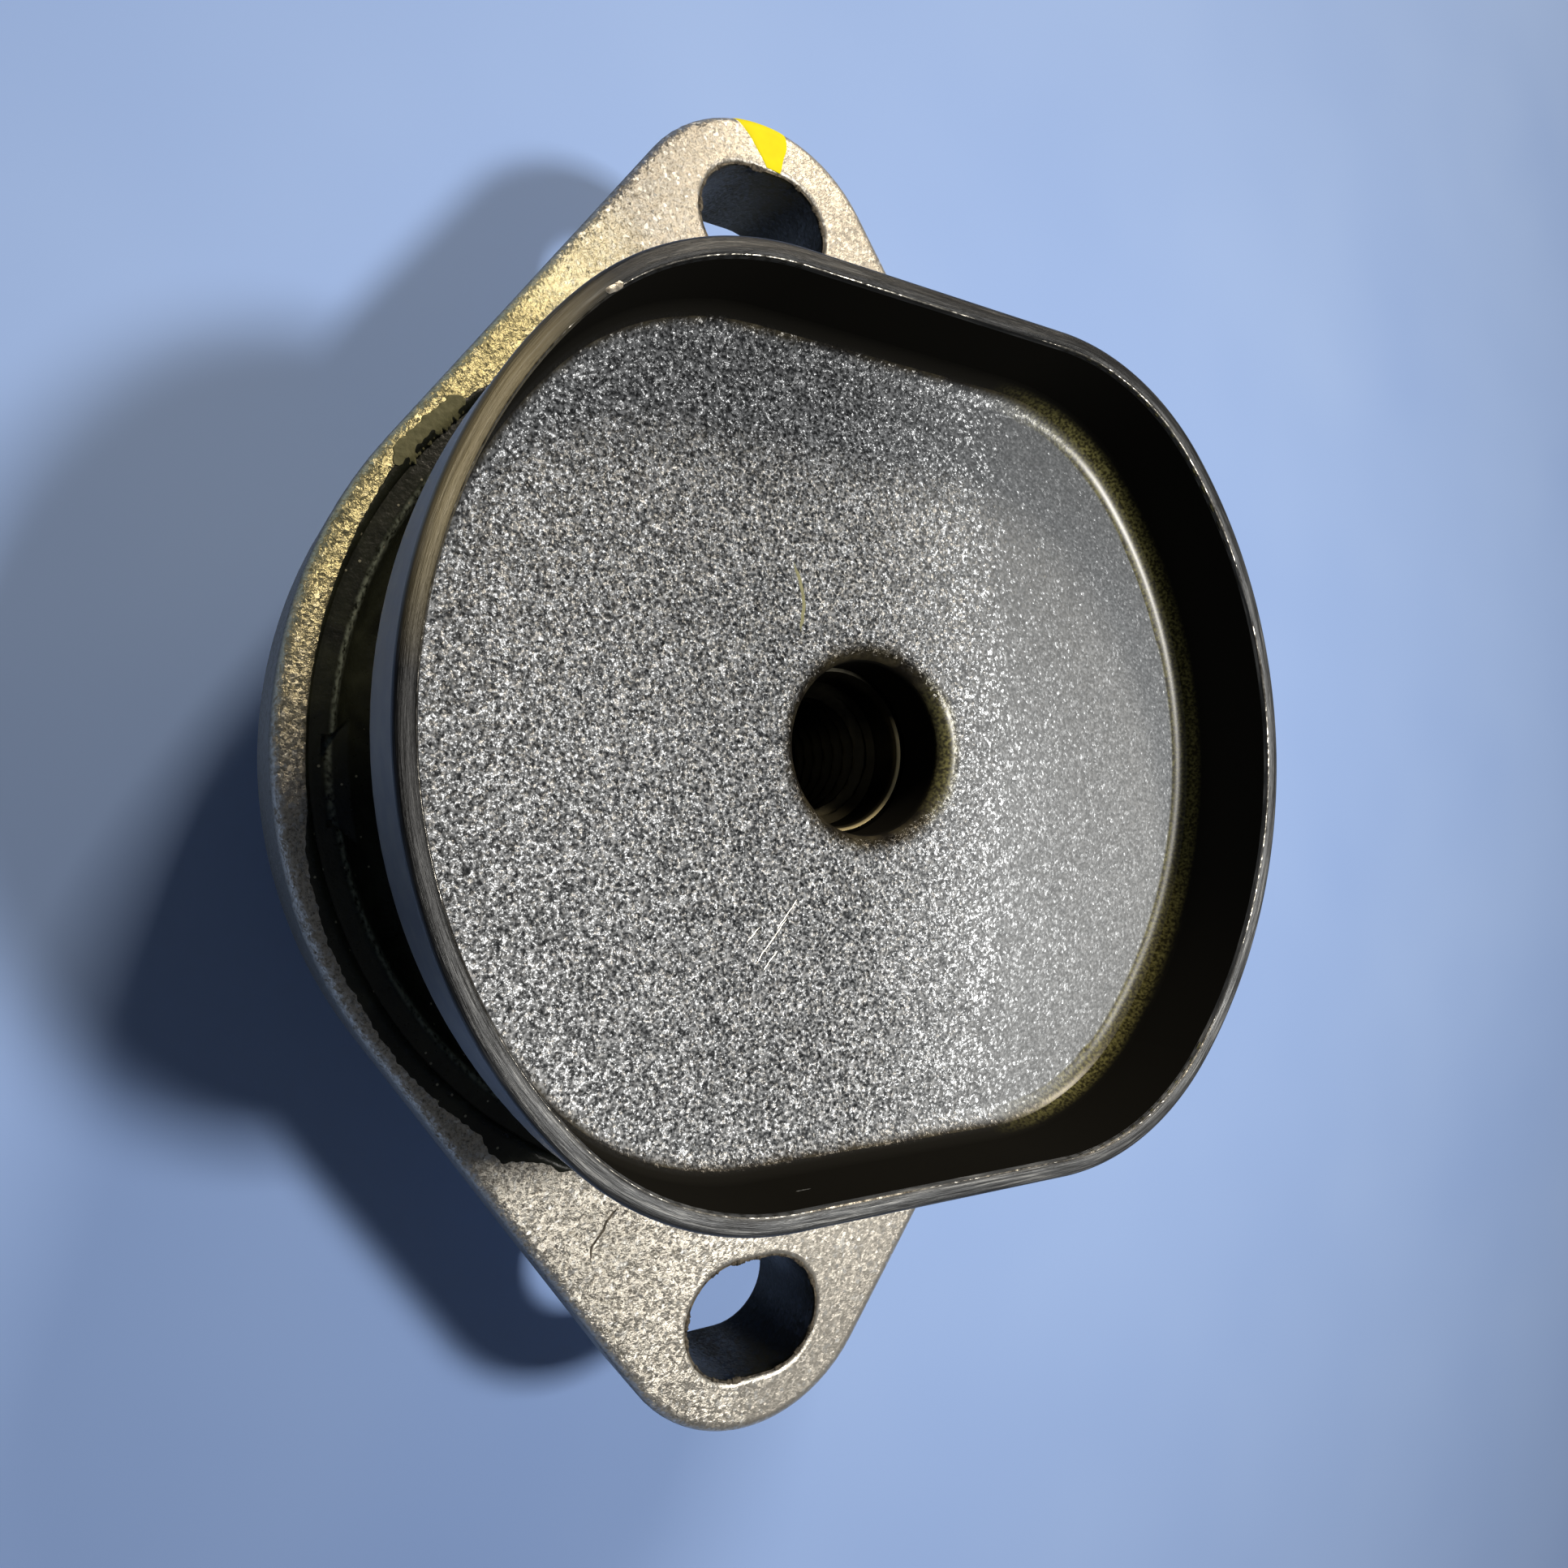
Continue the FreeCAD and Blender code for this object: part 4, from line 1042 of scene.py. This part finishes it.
def markSurface(m):
    # a patch in polar places about the lug's centre: it lies on the deck, bends over the rounded
    # edge and ends on the side; its outline narrows towards the slot and is uneven
    lugCentre = lugTip - m["lugRadius"]
    flatEnd = m["lugRadius"] - m["edgeRadius"]
    arcLength = m["edgeRadius"] * math.pi / 2
    along = np.linspace(0, 1, m["rows"])
    across = np.linspace(0, 1, m["columns"])
    distance = m["slotEdge"] + along * (flatEnd + arcLength + m["down"] - m["slotEdge"])
    share = np.clip((distance - m["slotEdge"]) / (m["lugRadius"] - m["slotEdge"]), 0, 1)
    left = m["left"][0] + (m["left"][1] - m["left"][0]) * share ** m["leftPower"]
    right = m["right"][0] + (m["right"][1] - m["right"][0]) * share
    right = right + m["rightBelly"] * np.sin(share * math.pi)
    size, quick, start = m["leftWobble"]
    left = left + size * np.sin(along * quick + start) * along
    size, quick, start = m["rightWobble"]
    right = right + size * np.sin(along * quick + start)
    angle = np.radians(left[:, None] + (right - left)[:, None] * across[None])
    distance = np.repeat(distance[:, None], m["columns"], 1)
    turn = np.clip((distance - flatEnd) / m["edgeRadius"], 0, math.pi / 2)
    past = np.maximum(distance - flatEnd - arcLength, 0)
    edgeFade = np.minimum.outer(np.minimum(along, 1 - along) * m["endFade"],
                                np.minimum(across, 1 - across) * m["sideFade"])
    lift = m["film"] * np.clip(edgeFade, 0, 1) ** 0.5
    shells = []
    for offset in (lift, -m["sink"] * np.ones_like(lift)):
        radius = np.minimum(distance, flatEnd) + (m["edgeRadius"] + offset) * np.sin(turn)
        height = deckHeight - m["edgeRadius"] + (m["edgeRadius"] + offset) * np.cos(turn) - past
        shells.append(np.stack([radius * np.sin(angle), lugCentre + radius * np.cos(angle), height], -1))
    return shells


markPiece = slabMesh("paint_mark", [markSurface(mark)], paint)
print("paint mark: %d faces" % len(markPiece.data.polygons))


# casting marks and flash on the lugs

castMarks = {
    "fold": ((-14.0, -40.9), (-15.0, -41.9), (-15.7, -43.2), (-16.6, -44.2), (-16.7, -45.7)),
    "foldWidth": 0.24, "foldHeight": 0.02,
    "flowLine": ((-15.8, 44.9), (-14.0, 46.6), (-11.8, 47.4), (-9.5, 46.9)),
    "flowWidth": 0.5, "flowHeight": 0.07,
    "flashOut": 0.1, "flashDrop": 0.2, "flashWidth": 0.5, "flashHeight": 0.3, "stations": 1200,
    "flash": {"level": 0.1, "waves": (31, 47, 71, 97, 149), "swells": (5, 9, 17)},
}
# a low strip along a line: points of its running mean, size and seeds of its side steps,
# points across, quickness and least share of its taper, and its uneven height
stripForm = {
    "mean": 9, "stray": 0.35, "strayCell": 0.45, "straySeeds": (13, 14), "columns": 7,
    "taper": 6, "least": 0.05, "uneven": 0.25, "unevenCell": 0.7, "unevenSeed": 12,
}


def flatNoise(places, cell, seed):
    # lattice noise over level places
    return latticeNoise(np.concatenate([places, 0 * places[..., :1]], -1), cell, seed)


def stripShells(line, width, height, base, sink=0.04, step=0.08):
    # a low rounded strip along an open line; width and height fade to nothing at both ends
    form = stripForm
    path = respace(np.array(line, float), step)
    smooth = np.ones(form["mean"]) / form["mean"]
    path = np.stack([np.convolve(np.pad(path[:, k], form["mean"] // 2, mode="edge"), smooth, "valid")
                     for k in (0, 1)], 1)
    stray = np.stack([flatNoise(path, form["strayCell"], seed) for seed in form["straySeeds"]], 1)
    path = path + form["stray"] * width * stray
    along = np.linspace(0, 1, len(path))
    taper = np.clip(np.minimum(along, 1 - along) * form["taper"], form["least"], 1)[:, None]
    share = np.linspace(-0.5, 0.5, form["columns"])
    side = rightOf(np.gradient(path, axis=0))
    place = path[:, None] - side[:, None] * (share * width * taper)[..., None]
    rough = flatNoise(place, form["unevenCell"], form["unevenSeed"])
    uneven = 1 - form["uneven"] + form["uneven"] * rough
    lift = height * (1 - (2 * share) ** 2) * taper * uneven
    return [np.dstack([place, level]) for level in (base + lift, base - sink + 0 * lift)]


def slotPath(s, centreY, grow, count):
    # two half circles joined by straight lines, evenly stepped and moved outwards by grow
    end = s["width"] / 2 + grow
    reach = (s["length"] - s["width"]) / 2
    part = np.linspace(-math.pi / 2, math.pi / 2, 100)
    right = np.stack([reach + end * np.cos(part), end * np.sin(part)], 1)
    return respaceLoop(np.concatenate([right, -right, right[:1]]), count) + np.array([0, centreY])


def addCastMarks(c):
    # a fold, a flow line and a ragged flash line round each slot
    fold = stripShells(c["fold"], c["foldWidth"], c["foldHeight"], deckHeight)
    flowLine = stripShells(c["flowLine"], c["flowWidth"], c["flowHeight"], deckHeight)
    slabMesh("casting_fold", [fold], foldOxide)
    slabMesh("casting_flow_line", [flowLine], cast)
    for flashName, sign in (("slot_flash_rear", 1), ("slot_flash_front", -1)):
        line = slotPath(slot, sign * slot["spacing"] / 2, c["flashOut"], c["stations"])
        ridge = ridgeAlong(line, deckHeight - c["flashDrop"], c["flashWidth"], c["flashHeight"],
                           40 + sign, c["flash"])
        tubeMesh(flashName, ridge[:, ::-1], foldOxide, 60)


addCastMarks(castMarks)
print("casting marks: done")


# scratches and smear on the dish's floor

dishWear = {
    "sheet": 1.5, "height": 0.01, "sink": 0.03, "fineStep": 0.05,
    "scratches": (((-11.1, -17.4), (-9.6, -15.6), (-8.2, -13.8)), ((-10.4, -17.9), (-9.0, -16.3)),
                  ((-9.2, -14.8), (-7.2, -12.3)), ((-11.9, -15.7), (-10.6, -14.4))),
    "scratchWidth": 0.12,
    # the dash lies on the wall of the near flat: X, and how far below its height
    "dash": ((-10.6, 0), (-9.9, 0.08), (-9.2, 0)), "dashWidth": 0.14, "dashHeight": 55.0,
    "chip": ((-27.5, 27.3), (-27.0, 27.75), (-26.5, 28.1)), "chipWidth": 0.5, "chipProud": 0.02,
    "smear": ((-7.9, 14.6), (-7.1, 12.6), (-6.9, 10.6), (-7.3, 8.8)), "smearWidth": 0.3,
}


def addDishWear(w):
    # strips on the floor, one turned up onto the wall and a chip on the rim
    floor = seatHeight + w["sheet"]
    slabs = [stripShells(line, w["scratchWidth"], w["height"], floor, w["sink"])
             for line in w["scratches"]]
    dash = stripShells(w["dash"], w["dashWidth"], w["height"], 0.0, w["sink"], w["fineStep"])
    wall = dishSide - w["sheet"]
    slabs.append([np.stack([g[..., 0], g[..., 2] - wall, w["dashHeight"] - g[..., 1]], -1)
                  for g in dash])
    slabs.append(stripShells(w["chip"], w["chipWidth"], w["chipProud"], rimHeight,
                             w["sink"], w["fineStep"]))
    slabMesh("dish_scratches", slabs, burrSteel)
    smear = stripShells(w["smear"], w["smearWidth"], w["height"], floor, w["sink"])
    slabMesh("dish_smear", [smear], flash)


addDishWear(dishWear)
print("scratches: done")


# floor, light and camera

studio = {
    "floorSize": 3.0, "floorTints": ((0.3, "#A1C1FB"), (0.7, "#A9C8FF")), "floorCell": 60,
    "floorRoughness": 0.8,
    "sky": "#F2F6FF", "skyStrength": 0.06,
    "keyPlace": (80, -12, 290), "keySize": 0.035, "keyPower": 0.54, "keyColour": "#FFFBF5",
    "rearPlace": (220, 590, 540), "rearSize": 0.17, "rearPower": 3.5, "rearColour": "#FFF0DA",
}


def addFloor(s):
    # a square of painted board in metres, with a faint cloud
    half = s["floorSize"] / 2
    mesh = bpy.data.meshes.new("floor")
    square = [(-half, -half, 0), (half, -half, 0), (half, half, 0), (-half, half, 0)]
    mesh.from_pydata(square, [], [(0, 1, 2, 3)])
    floor = bpy.data.objects.new("floor", mesh)
    bpy.context.scene.collection.objects.link(floor)
    material, tree, place = newMaterial("painted_board")
    cloud = addNode(tree, "TexNoise", {"Scale": grain(s["floorCell"]), "Detail": 2.0}, {"Vector": place})
    tint = addNode(tree, "ValToRGB", {"stops": s["floorTints"]}, {"Fac": cloud})
    finishMaterial(tree, {"Roughness": s["floorRoughness"]}, {"Base Color": tint})
    mesh.materials.append(material)


def addLamp(name, place, size, power, colour):
    # a square soft box that faces the middle of the part
    data = bpy.data.lights.new(name, "AREA")
    data.size = size
    data.energy = power
    data.color = linear(colour)[:3]
    lamp = bpy.data.objects.new(name, data)
    lamp.location = Vector(place) * mm
    target = Vector((0, 0, deckHeight * mm))
    lamp.rotation_euler = (target - lamp.location).to_track_quat("-Z", "Y").to_euler()
    bpy.context.scene.collection.objects.link(lamp)


def addSky(s):
    # even weak light from all sides
    world = bpy.data.worlds.new("studio")
    bpy.context.scene.world = world
    world.use_nodes = True
    background = world.node_tree.nodes["Background"]
    background.inputs["Color"].default_value = linear(s["sky"])
    background.inputs["Strength"].default_value = s["skyStrength"]


# places in millimetres from the middle of the deck
camera = {
    "place": (-51.88, -6.89, 93.13), "aim": (-8.63, -3.31, 19.5), "up": (-0.0289, 0.9991, 0.0316),
    "lens": 24.88, "nearest": 0.004,
}


def addCamera(c):
    # the camera looks from its place to its aim, with up as near to upright as it goes
    deckMiddle = Vector((0, 0, deckHeight))
    place = Vector(c["place"]) + deckMiddle
    forward = (Vector(c["aim"]) + deckMiddle - place).normalized()
    right = forward.cross(Vector(c["up"])).normalized()
    above = right.cross(forward)
    data = bpy.data.cameras.new("camera")
    data.lens = c["lens"]
    data.clip_start = c["nearest"]
    eye = bpy.data.objects.new("camera", data)
    facing = Matrix((right, above, -forward)).transposed().to_4x4()
    eye.matrix_world = Matrix.Translation(place * mm) @ facing
    bpy.context.scene.collection.objects.link(eye)
    bpy.context.scene.camera = eye


addFloor(studio)
addLamp("key", studio["keyPlace"], studio["keySize"], studio["keyPower"], studio["keyColour"])
addLamp("rear", studio["rearPlace"], studio["rearSize"], studio["rearPower"], studio["rearColour"])
addSky(studio)
addCamera(camera)
bpy.context.scene.view_settings.view_transform = "Standard"
print("studio: done")
